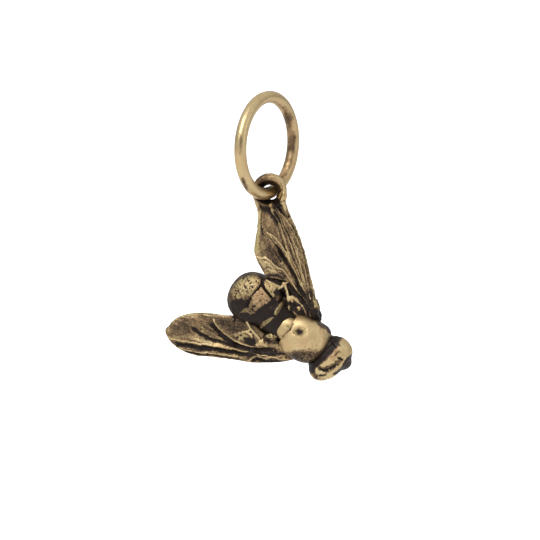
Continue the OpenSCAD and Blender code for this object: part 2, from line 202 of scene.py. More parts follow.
def along_line(points, line):
    """Distance to a broken line, and how far along it the nearest place is, from 0 to 1."""
    best = np.full(len(points), np.inf)
    place = np.zeros(len(points))
    lengths = np.linalg.norm(np.diff(line, axis=0), axis=1)
    done = 0
    for a, b, length in zip(line[:-1], line[1:], lengths):
        t = np.clip((points - a) @ (b - a) / length ** 2, 0, 1)
        d = np.linalg.norm(points - a - t[:, None] * (b - a), axis=1)
        near = d < best
        best[near] = d[near]
        place[near] = (done + t[near] * length) / lengths.sum()
        done += length
    return best, place


def curve_through(points, steps=6):
    """A smooth line through the given places."""
    p = np.asarray(points, float)
    out = []
    for i in range(len(p) - 1):
        a, b, c, d = p[max(0, i - 1)], p[i], p[i + 1], p[min(len(p) - 1, i + 2)]
        for t in np.arange(steps) / steps:
            bend = t * t * (2 * a - 5 * b + 4 * c - d) + t ** 3 * (3 * b - a - 3 * c + d)
            out.append(b + (t * (c - a) + bend) / 2)
    return np.array(out + [p[-1]])


# From the photograph's pixels to the fly and back

def at_height(px, z):
    """Places of the lying fly that the camera sees at pixels, at one height or each at its own."""
    out = []
    for place, height in zip(np.asarray(px, float), np.broadcast_to(z, len(px))):
        off = (place - FRAME_PX / 2) * PX
        aim = AIM + off[0] * CAM_RIGHT - off[1] * CAM_UP
        ray = (aim - EYE) / np.linalg.norm(aim - EYE) @ STAND
        start = to_fly(aim)
        out.append(start + ray * (height - start[2]) / ray[2])
    return np.array(out)


def to_px(points):
    """Pixels where the camera sees places of the lying fly."""
    off = to_row(points) - EYE
    depth = -off @ CAM_BACK
    side = DISTANCE / PX * (off @ CAM_RIGHT) / depth
    rise = DISTANCE / PX * (off @ CAM_UP) / depth
    return FRAME_PX / 2 + np.stack([side, -rise], 1)


def within(px, polygon, soft):
    """1 well inside a polygon and 0 well outside, smooth over its border."""
    inside = np.zeros(len(px), bool)
    for (x0, y0), (x1, y1) in zip(polygon, np.roll(polygon, -1, 0)):
        if y0 != y1:
            crosses = (y0 > px[:, 1]) != (y1 > px[:, 1])
            inside ^= crosses & (px[:, 0] < x0 + (px[:, 1] - y0) / (y1 - y0) * (x1 - x0))
    d, _ = along_line(px, np.vstack([polygon, polygon[:1]]))
    return step_up(-soft, soft, np.where(inside, d, -d))


# Kinds of marks, how their edges wander, in pixels, and where along a line it fades in
LINE, SPOT, AREA = "line", "spot", "area"
WANDER = 0.7
WANDER_LAYERS = ((7, 1), (1.8, 0.45))
WANDER_SEEDS = (201, 207)
LINE_FADE = (-0.04, 0.1)


def relief(px, marks):
    """Height, stain with painted light and shade, and tone that marks give at pixels.

    A mark has a kind, a height in mm, a stain (above 0 darker; it paints real stains and wear, and
    also painted light and shade), a tone (above 0 rosy, below green), a width or soft border in pixels,
    and the pixels of its line, spots or area.
    """
    out = np.zeros((3, len(px)))
    flat = np.concatenate([px, np.zeros((len(px), 1))], 1)
    for size, share in WANDER_LAYERS:
        px = px + share * WANDER * np.stack([rough(flat, size, seed) for seed in WANDER_SEEDS], 1)
    for kind, height, stain_and_painted_light, tone, width, places in marks:
        places = np.array(places, float)
        if kind == AREA:
            mask = within(px, places, width)
        elif kind == SPOT:
            mask = bell(np.linalg.norm(px[:, None] - places[None], axis=2).min(1), width)
        else:
            d, place = along_line(px, curve_through(places))
            mask = bell(d, width) * step_up(*LINE_FADE, place) * step_up(*LINE_FADE, 1 - place)
        out += mask * np.array([[height], [stain_and_painted_light], [tone]])
    return out


# Shapes: functions that give a distance, below 0 inside

def smooth_min(a, b, blend):
    h = np.clip(0.5 + 0.5 * (b - a) / blend, 0, 1)
    return b + (a - b) * h - blend * h * (1 - h)


def smooth_max(a, b, blend):
    return -smooth_min(-a, -b, blend)


def tube(points, line, radii):
    """Distance to a tube along a line, with radii spread evenly from its start to its end."""
    d, place = along_line(points, line)
    return d - np.interp(place, np.linspace(0, 1, len(radii)), radii)


def oval(points, centre, half, power=2.0):
    """Radial distance to a squarish ellipsoid."""
    q = points - centre
    g = (np.abs(q / half) ** power).sum(1) ** (1 / power)
    return np.linalg.norm(q, axis=1) * (1 - 1 / np.maximum(g, 1e-3))


# Straps are tubes, flattened in height, that run softly together
STRAP_FLAT = np.array([1, 1, 1.2])
STRAP_BLEND = 0.15
FAR = 9.0


def straps(rows):
    """The shape of straps, each with the pixels where it is seen, its heights and its radii."""
    tubes = [(at_height(px, heights) * STRAP_FLAT, radii) for px, heights, radii in rows]

    def shape(p):
        out = np.full(len(p), FAR)
        for line, radii in tubes:
            out = smooth_min(out, tube(p * STRAP_FLAT, line, radii), STRAP_BLEND)
        return out
    return shape


def strap_places(rows):
    """All the places that straps run through."""
    return np.concatenate([at_height(px, heights) for px, heights, _ in rows])


# Meshes

# Fewest and most rounds of smoothing, and how marks, their stains and painted light, and backs fade
# as a surface turns
SMOOTHING_ROUNDS = (4, 60)
RELIEF_FADE = (0, 0.35)
MARK_COLOUR_FADE = (-0.55, 0.05)
BACK_FADE = (0, 0.6)


def surface_net(shape, low, high, step):
    """Points and quads of the surface where shape is zero.

    Each grid cell that the surface crosses gets one point, at the mean of the crossings of its
    edges. Each grid edge that the surface crosses gets one quad, of its four cells.
    """
    count = np.ceil((high - low) / step).astype(int) + 1
    axes = [low[k] + step * np.arange(count[k]) for k in range(3)]
    grid = np.stack(np.meshgrid(*axes, indexing="ij"), -1)
    field = shape(grid.reshape(-1, 3)).reshape(count)
    inside = field < 0
    cells = tuple(count - 1)
    total = np.zeros(cells + (3,))
    crossings = np.zeros(cells)
    for axis in range(3):
        b, c = [k for k in range(3) if k != axis]
        first = [slice(None)] * 3
        second = [slice(None)] * 3
        first[axis], second[axis] = slice(0, -1), slice(1, None)
        f0, f1 = field[tuple(first)], field[tuple(second)]
        cut = inside[tuple(first)] != inside[tuple(second)]
        t = np.where(cut, f0 / np.where(cut, f0 - f1, 1), 0)
        for db in (0, 1):
            for dc in (0, 1):
                pick = [slice(None)] * 3
                pick[b] = slice(db, cells[b] + db)
                pick[c] = slice(dc, cells[c] + dc)
                crossed = cut[tuple(pick)]
                crossings += crossed
                total[..., axis] += crossed * t[tuple(pick)]
                total[..., b] += crossed * db
                total[..., c] += crossed * dc
    used = crossings > 0
    number = np.full(cells, -1)
    number[used] = np.arange(used.sum())
    place = np.argwhere(used) + total[used] / crossings[used][:, None]
    quads = []
    for axis in range(3):
        b, c = (axis + 1) % 3, (axis + 2) % 3
        first = [slice(1, -1)] * 3
        second = [slice(1, -1)] * 3
        first[axis], second[axis] = slice(0, -1), slice(1, None)
        i0, i1 = inside[tuple(first)], inside[tuple(second)]
        at = np.argwhere(i0 != i1)
        flip = i0[tuple(at.T)]
        for k in (b, c):
            at[:, k] += 1
        unit_b, unit_c = np.eye(3, dtype=int)[b], np.eye(3, dtype=int)[c]
        corners = [at - unit_b - unit_c, at - unit_c, at, at - unit_b]
        q = np.stack([number[tuple(corner.T)] for corner in corners], 1)
        q[~flip] = q[~flip][:, ::-1]
        quads.append(q)
    return low + step * place, np.concatenate(quads)


def normals_of(points, quads):
    p = points[quads]
    n = np.cross(p[:, 2] - p[:, 0], p[:, 3] - p[:, 1])
    out = np.zeros_like(points)
    for k in range(4):
        for axis in range(3):
            out[:, axis] += np.bincount(quads[:, k], n[:, axis], len(points))
    return out / np.maximum(np.linalg.norm(out, axis=1), 1e-12)[:, None]


def edges_of(quads):
    pairs = np.concatenate([quads[:, [k, (k + 1) % 4]] for k in range(4)])
    return np.unique(np.sort(pairs, axis=1), axis=0)


def relaxed(points, edges, rounds):
    """Points of a mesh, each averaged with its neighbours several times."""
    count = np.bincount(edges.ravel(), minlength=len(points))[:, None]
    for _ in range(rounds):
        total = np.stack([
            np.bincount(edges[:, 0], points[edges[:, 1], k], len(points))
            + np.bincount(edges[:, 1], points[edges[:, 0], k], len(points))
            for k in range(3)], 1)
        points = (points + total / np.maximum(count, 1)) / 2
    return points


def hollows(points, quads, reach):
    """How far each point lies below the surface around it, in mm: above 0 in a groove."""
    edges = edges_of(quads)
    step = np.median(np.linalg.norm(points[edges[:, 0]] - points[edges[:, 1]], axis=1))
    rounds = int(np.clip(2 * (reach / step) ** 2, *SMOOTHING_ROUNDS))
    away = relaxed(points, edges, rounds) - points
    return (away * normals_of(points, quads)).sum(1)


def settle(points, shape, rounds=3, probe=0.01, longest=0.1):
    """Moves points onto the surface where shape is zero."""
    for _ in range(rounds):
        value = shape(points)
        slope = np.stack([(shape(points + probe * unit) - value) / probe for unit in np.eye(3)], 1)
        size = np.maximum((slope ** 2).sum(1), 1e-3)
        points = points - np.clip(value / size, -longest, longest)[:, None] * slope
    return points


def sculpt(shape, low, high, step, marks, grain):
    """A mesh of a smooth shape, with its grain, and with its marks where the camera sees it."""
    points, quads = surface_net(shape, np.array(low, float), np.array(high, float), step)
    points = settle(points, shape)
    normals = normals_of(points, quads)
    facing = normals @ VIEW
    height, stain_and_painted_light, tone = relief(to_px(points), marks)
    seen = step_up(*MARK_COLOUR_FADE, facing)
    lift = height * step_up(*RELIEF_FADE, facing) + grain(points)
    return [points + normals * lift[:, None], quads, stain_and_painted_light * seen, tone * seen]


def turned_away(cast):
    """1 where a sculpted piece faces away from the camera, 0 where it faces it."""
    return step_up(*BACK_FADE, -(normals_of(cast[0], cast[1]) @ VIEW))


def ring_quads(rows, sides, closed):
    """Faces between neighbouring rows of points, each row a closed ring."""
    i, j = np.meshgrid(np.arange(rows if closed else rows - 1), np.arange(sides), indexing="ij")
    here, there = i * sides, (i + 1) % rows * sides
    ahead = (j + 1) % sides
    return np.stack([here + j, there + j, there + ahead, here + ahead], -1).reshape(-1, 4)


def cap_quads(rows, sides):
    """Closes the first and last of a row of rings with quads that run from side to side."""
    k = np.arange(sides // 2 - 1)
    first = np.stack([k, (sides - k) % sides, sides - k - 1, k + 1], 1)
    last = first[:, ::-1] + (rows - 1) * sides
    return np.concatenate([first, last])


def outward(points, quads):
    """Turns a mesh's faces outwards."""
    p = points[quads] - points.mean(0)
    size = (p[:, 0] * np.cross(p[:, 1], p[:, 2])).sum() + (p[:, 0] * np.cross(p[:, 2], p[:, 3])).sum()
    return quads if size > 0 else quads[:, ::-1]


def add_piece(node, cast, slot, reach, body="fly", ending="cast"):
    """Makes the piece that replaces a node, from its points, faces, stain with painted light, and tone."""
    points, quads, stain_and_painted_light, tone = cast
    mesh = bpy.data.meshes.new(f"{node}_{ending}")
    placed = (to_row(points) if body == "fly" else points) * MM
    mesh.vertices.add(len(placed))
    mesh.vertices.foreach_set("co", placed.astype(np.float32).ravel())
    mesh.loops.add(quads.size)
    mesh.loops.foreach_set("vertex_index", quads.astype(np.int32).ravel())
    mesh.polygons.add(len(quads))
    mesh.polygons.foreach_set("loop_start", np.arange(0, quads.size, 4, dtype=np.int32))
    mesh.polygons.foreach_set("use_smooth", np.ones(len(quads), bool))
    mesh.update(calc_edges=True)
    mesh.validate()
    for key, value in (("hollow", hollows(points, quads, reach)), ("stain_and_painted_light", stain_and_painted_light), ("tone", tone)):
        mesh.attributes.new(key, "FLOAT", "POINT").data.foreach_set("value", value.astype(np.float32))
    mesh.materials.append(METALS[slot])
    piece = bpy.data.objects.new(mesh.name, mesh)
    bpy.context.scene.collection.objects.link(piece)
    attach(piece, body)
    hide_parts(node)


# Materials

def srgb(r, g, b):
    """A colour from the 0 to 255 values that a screen shows."""
    def linear(v):
        v /= 255
        return v / 12.92 if v <= 0.04045 else ((v + 0.055) / 1.055) ** 2.4
    return (linear(r), linear(g), linear(b), 1)


GOLD = srgb(203, 177, 132)
PALE = srgb(216, 194, 148)
BROWN = srgb(122, 100, 74)
DARK = srgb(36, 27, 23)
ROSE = srgb(196, 152, 116)
OLIVE = srgb(168, 158, 108)
WHITE = (1, 1, 1, 1)
PAPER = (0.9, 0.9, 0.9, 1)

# Sizes in mm of clouds, dots and pocks in the finish, how far shade reaches, and bump depths
CLOUD = 2.2
DOT = 0.22
POCK = 0.15
POCK_PATCH = 1.0
SHADE_REACH = 1.1
GRAIN_DEEP = 0.02
PIT_DEEP = 0.03

# Dark patina is less metallic and less glossy than bare bronze
PATINA_METAL = 0.4
PATINA_GLOSS = 0.28
PATINA_ROUGH = 0.42


class Nodes:
    """Short names for building a node tree."""

    def __init__(self, tree):
        tree.nodes.clear()
        self.tree = tree

    def add(self, kind, inputs=None, **settings):
        node = self.tree.nodes.new("ShaderNode" + kind)
        for key, value in settings.items():
            setattr(node, key, value)
        for key, value in (inputs or {}).items():
            if isinstance(value, bpy.types.NodeSocket):
                self.tree.links.new(value, node.inputs[key])
            else:
                node.inputs[key].default_value = value
        return node

    def math(self, operation, a, b):
        return self.add("Math", {0: a, 1: b}, operation=operation).outputs[0]

    def span(self, value, low, high, to_low=0.0, to_high=1.0):
        """Maps low..high onto to_low..to_high, smoothly and held at both ends."""
        inputs = {"Value": value, "From Min": low, "From Max": high, "To Min": to_low, "To Max": to_high}
        return self.add("MapRange", inputs, interpolation_type="SMOOTHSTEP").outputs["Result"]

    def mix(self, factor, a, b):
        """Mixes two colours, which are inputs 6 and 7 of the node, into its output 2."""
        return self.add("Mix", {0: factor, 6: a, 7: b}, data_type="RGBA").outputs[2]

    def end(self, kind, shader):
        self.tree.links.new(shader.outputs[0], self.add(kind).inputs[0])


def new_material(name):
    material = bpy.data.materials.new(name)
    material.use_nodes = True
    return material, Nodes(material.node_tree)


def bronze(name, groove, speckle, speck, shine, grain, rubbed=0.02, crevice_shade=0.9, ground=0.0, pocked=0.0):
    """Antique cast bronze: bright where it is rubbed, brown between, near black in hollows.

    groove and rubbed are how deep a hollow turns dark and how proud a ridge turns bright, in mm.
    speckle is how strong the fine stains are and speck their size in mm. shine is the roughness of
    bare metal, grain the strength of its bumps. crevice_shade is how dark the painted shade turns where
    ambient occlusion finds close surfaces, and ground darkens everything. pocked is how dark the small
    ragged pocks are that gather in patches.
    """
    material, n = new_material(name)
    place = n.add("TexCoord").outputs["Object"]

    def texture(size, detail=4.0, roughness=0.6):
        inputs = {"Vector": place, "Scale": 1 / (size * MM), "Detail": detail, "Roughness": roughness}
        return n.add("TexNoise", inputs).outputs["Fac"]

    def attribute(key):
        return n.add("Attribute", attribute_name=key).outputs["Fac"]

    cloud = texture(CLOUD)
    fine = texture(speck, 6.0, 0.7)
    dots = n.add("TexVoronoi", {"Vector": place, "Scale": 1 / (DOT * MM)}).outputs["Distance"]
    shade = n.add("AmbientOcclusion", {"Distance": SHADE_REACH * MM}, samples=8).outputs["AO"]
    tone = attribute("tone")
    dot = n.span(dots, 0.12, 0.32, 1.0, 0.0)
    pits = n.math("MULTIPLY", dot, n.span(fine, 0.52, 0.62, 0.0, speckle * 1.4))
    pock = n.span(texture(POCK, 2.0), 0.54, 0.62)
    patch = n.span(texture(POCK_PATCH, 2.0), 0.4, 0.6, 0.0, pocked)
    patina_and_painted_light = n.span(attribute("hollow"), -rubbed, groove, -0.3, 0.8)
    for more in (attribute("stain_and_painted_light"),
                 n.span(cloud, 0.35, 0.65, ground - 0.1, ground + 0.1),
                 n.span(fine, 0.3, 0.7, -speckle / 2, speckle / 2),
                 pits,
                 n.math("MULTIPLY", pock, patch)):
        patina_and_painted_light = n.math("ADD", patina_and_painted_light, more)
    # Painted shade: ambient occlusion darkens the colour where other surfaces come close
    patina_and_painted_light = n.math("MAXIMUM", patina_and_painted_light, n.span(shade, 0.2, 0.8, crevice_shade, 0.0))
    metal = n.mix(n.span(cloud, 0.42, 0.62), GOLD, PALE)
    metal = n.mix(n.span(tone, 0.0, 1.0), metal, ROSE)
    metal = n.mix(n.span(tone, -1.0, 0.0, 1.0, 0.0), metal, OLIVE)
    colour = n.mix(n.span(patina_and_painted_light, -0.05, 0.6), metal, BROWN)
    colour = n.mix(n.span(patina_and_painted_light, 0.45, 1.0), colour, DARK)
    bump = n.add("Bump", {"Strength": grain, "Distance": GRAIN_DEEP * MM, "Height": fine}).outputs["Normal"]
    pitting = n.add("Bump", {"Strength": grain, "Distance": PIT_DEEP * MM, "Normal": bump,
                             "Height": n.math("SUBTRACT", 1.0, pits)}).outputs["Normal"]
    n.end("OutputMaterial", n.add("BsdfPrincipled", {
        "Base Color": colour,
        "Metallic": n.span(patina_and_painted_light, 0.4, 1.0, 1.0, PATINA_METAL),
        "Specular IOR Level": n.span(patina_and_painted_light, 0.4, 1.0, 0.5, PATINA_GLOSS),
        "Roughness": n.span(patina_and_painted_light, 0.1, 0.9, shine, PATINA_ROUGH),
        "Normal": pitting}))
    return material


# Stage, light and camera

FLOOR_HALF = 3000
FLOOR_DROP = -46
FLOOR_GLOW = 0.8

# Studio brightness that polished metal sees, at the low and high ends of these heights
SKY_HEIGHTS = (-0.5, 0.9)
SKY_LEVELS = (0.2, 0.85)

# Lamps: name, azimuth from the camera's, elevation, distance and size in mm, and watts
LAMPS = (("key", -35, 45, 500, 340, 1.3), ("fill", 60, 15, 600, 300, 0.25))


def add_stage():
    """A pale floor under the charm, white to the camera."""
    corners = [(x * FLOOR_HALF * MM, y * FLOOR_HALF * MM, FLOOR_DROP * MM)
               for x, y in ((-1, -1), (1, -1), (1, 1), (-1, 1))]
    mesh = bpy.data.meshes.new("floor")
    mesh.from_pydata(corners, [], [(0, 1, 2, 3)])
    floor = bpy.data.objects.new("floor", mesh)
    bpy.context.scene.collection.objects.link(floor)
    material, n = new_material("floor_paper")
    paper = n.add("BsdfDiffuse", {"Color": PAPER}).outputs[0]
    glow = n.add("Emission", {"Color": WHITE, "Strength": FLOOR_GLOW}).outputs[0]
    both = n.add("AddShader", {0: paper, 1: glow}).outputs[0]
    seen = n.add("LightPath").outputs["Is Camera Ray"]
    n.end("OutputMaterial", n.add("MixShader", {0: seen, 1: paper, 2: both}))
    mesh.materials.append(material)


def add_world():
    """White to the camera. Polished metal sees a studio: bright above, dim at eye level and below."""
    world = bpy.data.worlds.new("studio")
    world.use_nodes = True
    bpy.context.scene.world = world
    n = Nodes(world.node_tree)
    way = n.add("TexCoord").outputs["Generated"]
    height = n.add("SeparateXYZ", {0: way}).outputs["Z"]
    seen = n.add("LightPath").outputs["Is Camera Ray"]
    strength = n.math("MAXIMUM", n.span(height, *SKY_HEIGHTS, *SKY_LEVELS), seen)
    n.end("OutputWorld", n.add("Background", {"Color": WHITE, "Strength": strength}))


def point_at(thing, place, target):
    """Puts a camera or lamp at a place, looking at a target, both in mm."""
    back = Vector(place - target).normalized()
    right = Vector((0, 0, 1)).cross(back).normalized()
    basis = Matrix((right, back.cross(right), back)).transposed().to_4x4()
    thing.matrix_world = Matrix.Translation(Vector(place) * MM) @ basis
    bpy.context.scene.collection.objects.link(thing)


def add_lamps():
    for name, azimuth, elevation, distance, size, watts in LAMPS:
        light = bpy.data.lights.new(name, "AREA")
        light.shape = "DISK"
        light.size = size * MM
        light.energy = watts
        lamp = bpy.data.objects.new(name, light)
        point_at(lamp, AIM + distance * way_from(AZIMUTH + azimuth, elevation), AIM)


def add_camera():
    data = bpy.data.cameras.new("camera")
    data.sensor_width = SENSOR
    data.lens = SENSOR * DISTANCE / FRAME_WIDE
    data.clip_start = 0.01
    camera = bpy.data.objects.new("camera", data)
    point_at(camera, EYE, AIM)
    bpy.context.scene.camera = camera


bpy.context.scene.view_settings.view_transform = "Standard"
add_camera()
add_world()
add_stage()
add_lamps()

METALS = {
    "ring_metal": bronze("ring_bronze", 0.08, speckle=0.2, speck=0.25, shine=0.36, grain=0.3, crevice_shade=0.5),
    "loop_metal": bronze("loop_bronze", 0.08, speckle=0.35, speck=0.2, shine=0.4, grain=0.7, crevice_shade=0.5),
    "bright_metal": bronze("rubbed_bronze", 0.08, speckle=0.28, speck=0.2, shine=0.48, grain=0.3),
    "body_metal": bronze("pitted_bronze", 0.07, speckle=0.4, speck=0.2, shine=0.54, grain=0.9, pocked=0.9),
    "veined_metal": bronze("veined_bronze", 0.18, speckle=0.46, speck=0.16, shine=0.5, grain=0.8,
                           rubbed=0.09, ground=0.1)}


# Jump ring

RING_ROWS = 360
RING_SIDES = 56
RING_WORN = 0.012
RING_WAVES = ((0.015, 2.6, 3, 1), (0.005, 0.7, 4, 1))
RING_REACH = 0.22
RING_STAIN = -0.07
INNER_FADE = (-0.1, 0.9)
INNER_SHADE = 0.16
INNER_SPOTS = (0.25, 0.4, 5, 1)
# Painted shade: dark streaks on the ring's inner edges and a darker right half, some with shallow dents
RING_SHADE_STREAKS = [
    (SPOT, 0, 0.12, 0.2, 4.5, [(280, 105), (286, 111), (290, 118)]),
    (LINE, -0.02, 0.55, 0, 1.1, [(241.3, 135), (241, 144), (240.6, 155)]),
    (LINE, -0.03, 0.8, 0, 1.5, [(242.3, 177.5), (244.8, 186), (248.3, 192)]),
    (LINE, -0.03, 0.7, 0, 0.9, [(294.4, 135), (294, 142), (293.1, 151)]),
    (LINE, 0, 0.34, 0.5, 5.0, [(284, 110), (289.5, 124), (290.5, 140), (289, 158), (284, 172),
        (279, 182)])]


def make_ring():
    """A round wire ring about X, a little uneven, darker on its inner side as painted shade."""
    a = np.linspace(0, 2 * math.pi, RING_ROWS, endpoint=False)
    b = np.linspace(0, 2 * math.pi, RING_SIDES, endpoint=False)
    out = np.stack([np.zeros_like(a), np.sin(a), np.cos(a)], 1).repeat(RING_SIDES, 0)
    normals = np.tile(np.cos(b), RING_ROWS)[:, None] * out
    normals[:, 0] = np.tile(np.sin(b), RING_ROWS)
    points = RING_R * out + WIRE / 2 * normals
    inner = step_up(*INNER_FADE, -(normals * out).sum(1))
    seen = step_up(*RELIEF_FADE, normals @ CAM_BACK)
    height, stain_and_painted_light, tone = relief(to_px(to_fly(points)), RING_SHADE_STREAKS) * seen
    lift = height + layers(points, RING_WAVES) - RING_WORN
    # Painted shade on the inner side, speckled
    stain_and_painted_light = stain_and_painted_light + inner * (INNER_SHADE + layers(points, [INNER_SPOTS])) + RING_STAIN
    cast = [points + normals * lift[:, None], ring_quads(RING_ROWS, RING_SIDES, True), stain_and_painted_light, tone]
    add_piece("jump_ring", cast, "ring_metal", RING_REACH, "ring", "wire")


make_ring()


# Hanging loop

LOOP_EDGE = 0.4
LOOP_STEP = 0.06
LOOP_BOX = (np.array([-2.3, -4.4, -1.0]), np.array([4.4, 2.3, 1.3]))
HOLE_LEVELS = (LOOP_LOW, 0, LOOP_LOW + LOOP_DEEP)
HOLE_RADII = (LOOP_HOLE / 2 + 0.03, 0.76, LOOP_MOUTH / 2 + 0.02)
HOLE_EDGE = 0.1
HOLE_LIP = 0.16
HOLE_LIP_PX = (262, 203)
HOLE_LIP_AT = at_height([HOLE_LIP_PX], HOLE[2])[0]
LIP_SPREAD = (0.3, 1.0)
FLANK_BLEND = 0.25
RIGHT_FLANK_PX = [(282.5, 196), (282.3, 202), (283.5, 208), (285.5, 213), (288, 218)]
LEFT_FLANK_PX = [(258, 197), (258.7, 204), (259.5, 211), (259.5, 219)]
NECK_PX = [(270, 200), (272, 208), (275, 217), (279, 226)]
LOOP_FLANKS = [
    (at_height(RIGHT_FLANK_PX, HOLE[2] + 0.3), (0.45, 0.4, 0.3, 0.2, 0.08)),
    (at_height(LEFT_FLANK_PX, HOLE[2] + 0.15), (0.42, 0.34, 0.22, 0.08)),
    (at_height(NECK_PX, HOLE[2] - 0.05), (0.55, 0.4, 0.25, 0.15))]
LOOP_GRAIN = ((0.03, 0.45, 11, 3), (0.03, 1.1, 15, 3))
LOOP_REACH = 0.3
LOOP_STAIN = 0.05
HOLE_SHADE = 0.25
LOOP_BACK_STAIN = 0.5

# Distances from the hole's axis over which its painted shade, the back's stain and the grain come in
HOLE_SHADED = (1.4, 1.1)
BACK_STAINED = (1.5, 2.4)
GRAINY = (1.0, 1.6)
HOLE_GRAIN_SHARE = 0.3

# Veins that start under the loop and run on down the left wing
VEIN_MARKS = [
    (LINE, 0.12, -0.5, 0, 0.5, [(270.2, 205), (272.3, 211.4), (275, 216.4), (278.2, 222.3), (280.5, 227.3),
        (282.3, 233.2), (283.6, 237.7), (285.9, 245.9), (289.5, 257.7), (293.2, 267.7), (297.3, 276.8),
        (301.4, 283.2), (304, 290.5), (306.8, 296.8)]),
    (LINE, 0.08, -0.35, 0, 0.45, [(270.9, 205.9), (275, 210.5), (279.1, 216.8), (281.4, 222.3),
        (284.1, 230.5), (287.3, 235.9), (290.5, 245.9), (294.1, 255), (297.3, 264.1), (300.5, 273.2),
        (303.2, 282.3), (305.5, 291.4), (307.7, 297.7)]),
    (LINE, 0.07, -0.25, 0, 0.45, [(278.6, 215.5), (281.4, 217.7), (284.1, 224.1), (287.7, 231.4),
        (291.4, 238.6), (295, 245.9), (297.3, 253.2), (299.5, 262.3), (301.4, 271.4), (303.6, 278.6),
        (306, 288)])]
LOOP_MARKS = VEIN_MARKS + [
    # Shaded face and hole
    (AREA, 0, 0.5, 0.4, 2.2, [(250, 190), (252, 182), (257, 174), (264, 171), (270, 173.5), (277, 177.5),
        (281, 183.5), (281.8, 190), (279, 196), (276, 200), (266, 203), (256, 201)]),
    (AREA, 0, 0.36, 0.1, 3.0, [(250, 190), (252, 182), (257, 174), (264, 171), (267, 177), (263, 190),
        (262, 200)]),
    # Raised rim with a painted highlight, and the nick inside it
    (LINE, 0.05, -0.35, 0, 0.8, [(267, 172.6), (272.5, 173), (277.5, 175.2), (281.6, 179.4),
        (283.8, 184.6), (283.6, 189.4), (281, 192.5), (279.2, 196.9), (278.6, 200.6)]),
    (LINE, -0.1, 0.6, 0, 0.9, [(281.0, 182.8), (282.2, 186), (282.8, 190)]),
    # Painted shade in the dented hollow under the hole
    (AREA, -0.08, 0.95, 0.2, 1.2, [(271, 199), (278.5, 199.5), (280.5, 204), (284, 209), (287, 214.5),
        (291, 221), (287, 220), (281, 213), (276, 206)]),
    (AREA, -0.05, 0.6, 0.2, 1.8, [(256, 196), (270, 198), (279, 198), (281, 203), (279, 208), (272, 209.5),
        (262, 209), (259, 210), (257.5, 203)]),
    (AREA, -0.03, 0.66, 0.2, 1.5, [(262, 207), (277, 205), (286, 218), (287, 233), (277, 230),
        (268, 215)]),
    # Lumps and pits of the right flank
    (SPOT, 0.1, -0.3, -0.2, 1.3, [(283.5, 193), (281.8, 198.5), (284, 206)]),
    (SPOT, -0.1, 0.7, -0.3, 1.2, [(281.5, 202.2), (281.8, 205.8), (284.8, 201), (285, 195)]),
    (LINE, -0.04, 0.7, 0, 1.2, [(286, 209), (287.5, 213), (289.5, 218)]),
    # Bright start of the veins
    (SPOT, 0.1, -1.2, 0, 1.1, [(270.8, 204), (271.6, 206.5), (272.6, 209)]),
    # Shaded left flank
    (AREA, 0, 0.35, -0.2, 1.5, [(250, 197), (260, 198), (262, 206), (262, 216), (254, 216)])]


def from_hole(p):
    """Distance from the axis of the loop's hole."""
    return np.hypot(p[:, 0] - HOLE[0], p[:, 1] - HOLE[1])


def loop_base(p):
    """A round eyelet with a flared hole, and the flanks that run down to the wing."""
    q = p - LOOP
    high = LOOP_DEEP / 2
    out = np.hypot(q[:, 0], q[:, 1]) - (LOOP_WIDE / 2 - LOOP_EDGE)
    up = np.abs(q[:, 2] - LOOP_LOW - high) - (high - LOOP_EDGE)
    body = np.hypot(np.maximum(out, 0), np.maximum(up, 0)) + np.minimum(np.maximum(out, up), 0) - LOOP_EDGE
    for line, radii in LOOP_FLANKS:
        body = smooth_min(body, tube(p, line, radii), FLANK_BLEND)
    h = p - HOLE
    lip_way = (HOLE_LIP_AT - HOLE)[:2]
    toward = h[:, :2] @ lip_way / np.linalg.norm(lip_way) / from_hole(p)
    flare = np.interp(h[:, 2], HOLE_LEVELS, HOLE_RADII) - HOLE_LIP * step_up(*LIP_SPREAD, toward)
    return smooth_max(body, flare - from_hole(p), HOLE_EDGE)


def loop_grain(p):
    """Grain that is weaker in the hole, where the ring's wire rubs."""
    outside = step_up(*GRAINY, from_hole(p))
    return layers(p, LOOP_GRAIN) * (HOLE_GRAIN_SHARE + (1 - HOLE_GRAIN_SHARE) * outside)


def make_loop():
    """The loop, darker in its hole as painted shade, and darker on its back."""
    cast = sculpt(loop_base, LOOP + LOOP_BOX[0], LOOP + LOOP_BOX[1], LOOP_STEP, LOOP_MARKS, loop_grain)
    away = from_hole(cast[0])
    back = turned_away(cast) * step_up(*BACK_STAINED, away)
    cast[2] += LOOP_STAIN + HOLE_SHADE * step_up(*HOLE_SHADED, away) + LOOP_BACK_STAIN * back
    add_piece("hanging_loop", cast, "loop_metal", LOOP_REACH)


make_loop()


# Wings

WING_ROWS = 350
WING_SIDES = 300
WING_STAIN = 0.38
WING_REACH = 0.24
GRAIN_HEIGHT = 0.018
GRAIN_SIZE = 0.15
DENT_HEIGHT = 0.06
DENT_SIZE = 1.6
STREAK_HEIGHT = 0.018
STREAK_SIZE = 0.14
STREAK_SQUASH = 0.2
STREAK_STAIN = 0.2
EDGE_WOBBLE = 0.035
EDGE_SIZE = 0.35
EDGE_RISE = 0.75
TIP_THICK_SHARE = 0.16
UNDER_SHARE = 0.35
LEFT_SEED = 21
RIGHT_SEED = 41
RIGHT_TIP_SHARE = 0.12

# Heights at which the wings' outlines are found, and how the left wing leaves its plane
LEFT_SEEN_AT = LEFT_ROOT[2] + 0.25
RIGHT_SEEN_AT = 0.0
LEFT_DROP = 0.12
ROOT_DIP = 0.85
ROOT_DIP_RUN = (0.3, -0.6)
LOBE_PX = (271, 269)
LOBE_AT = at_height([LOBE_PX], 1.1)[0]
LOBE_WIDE = 1.1
LOBE_HIGH = 0.22

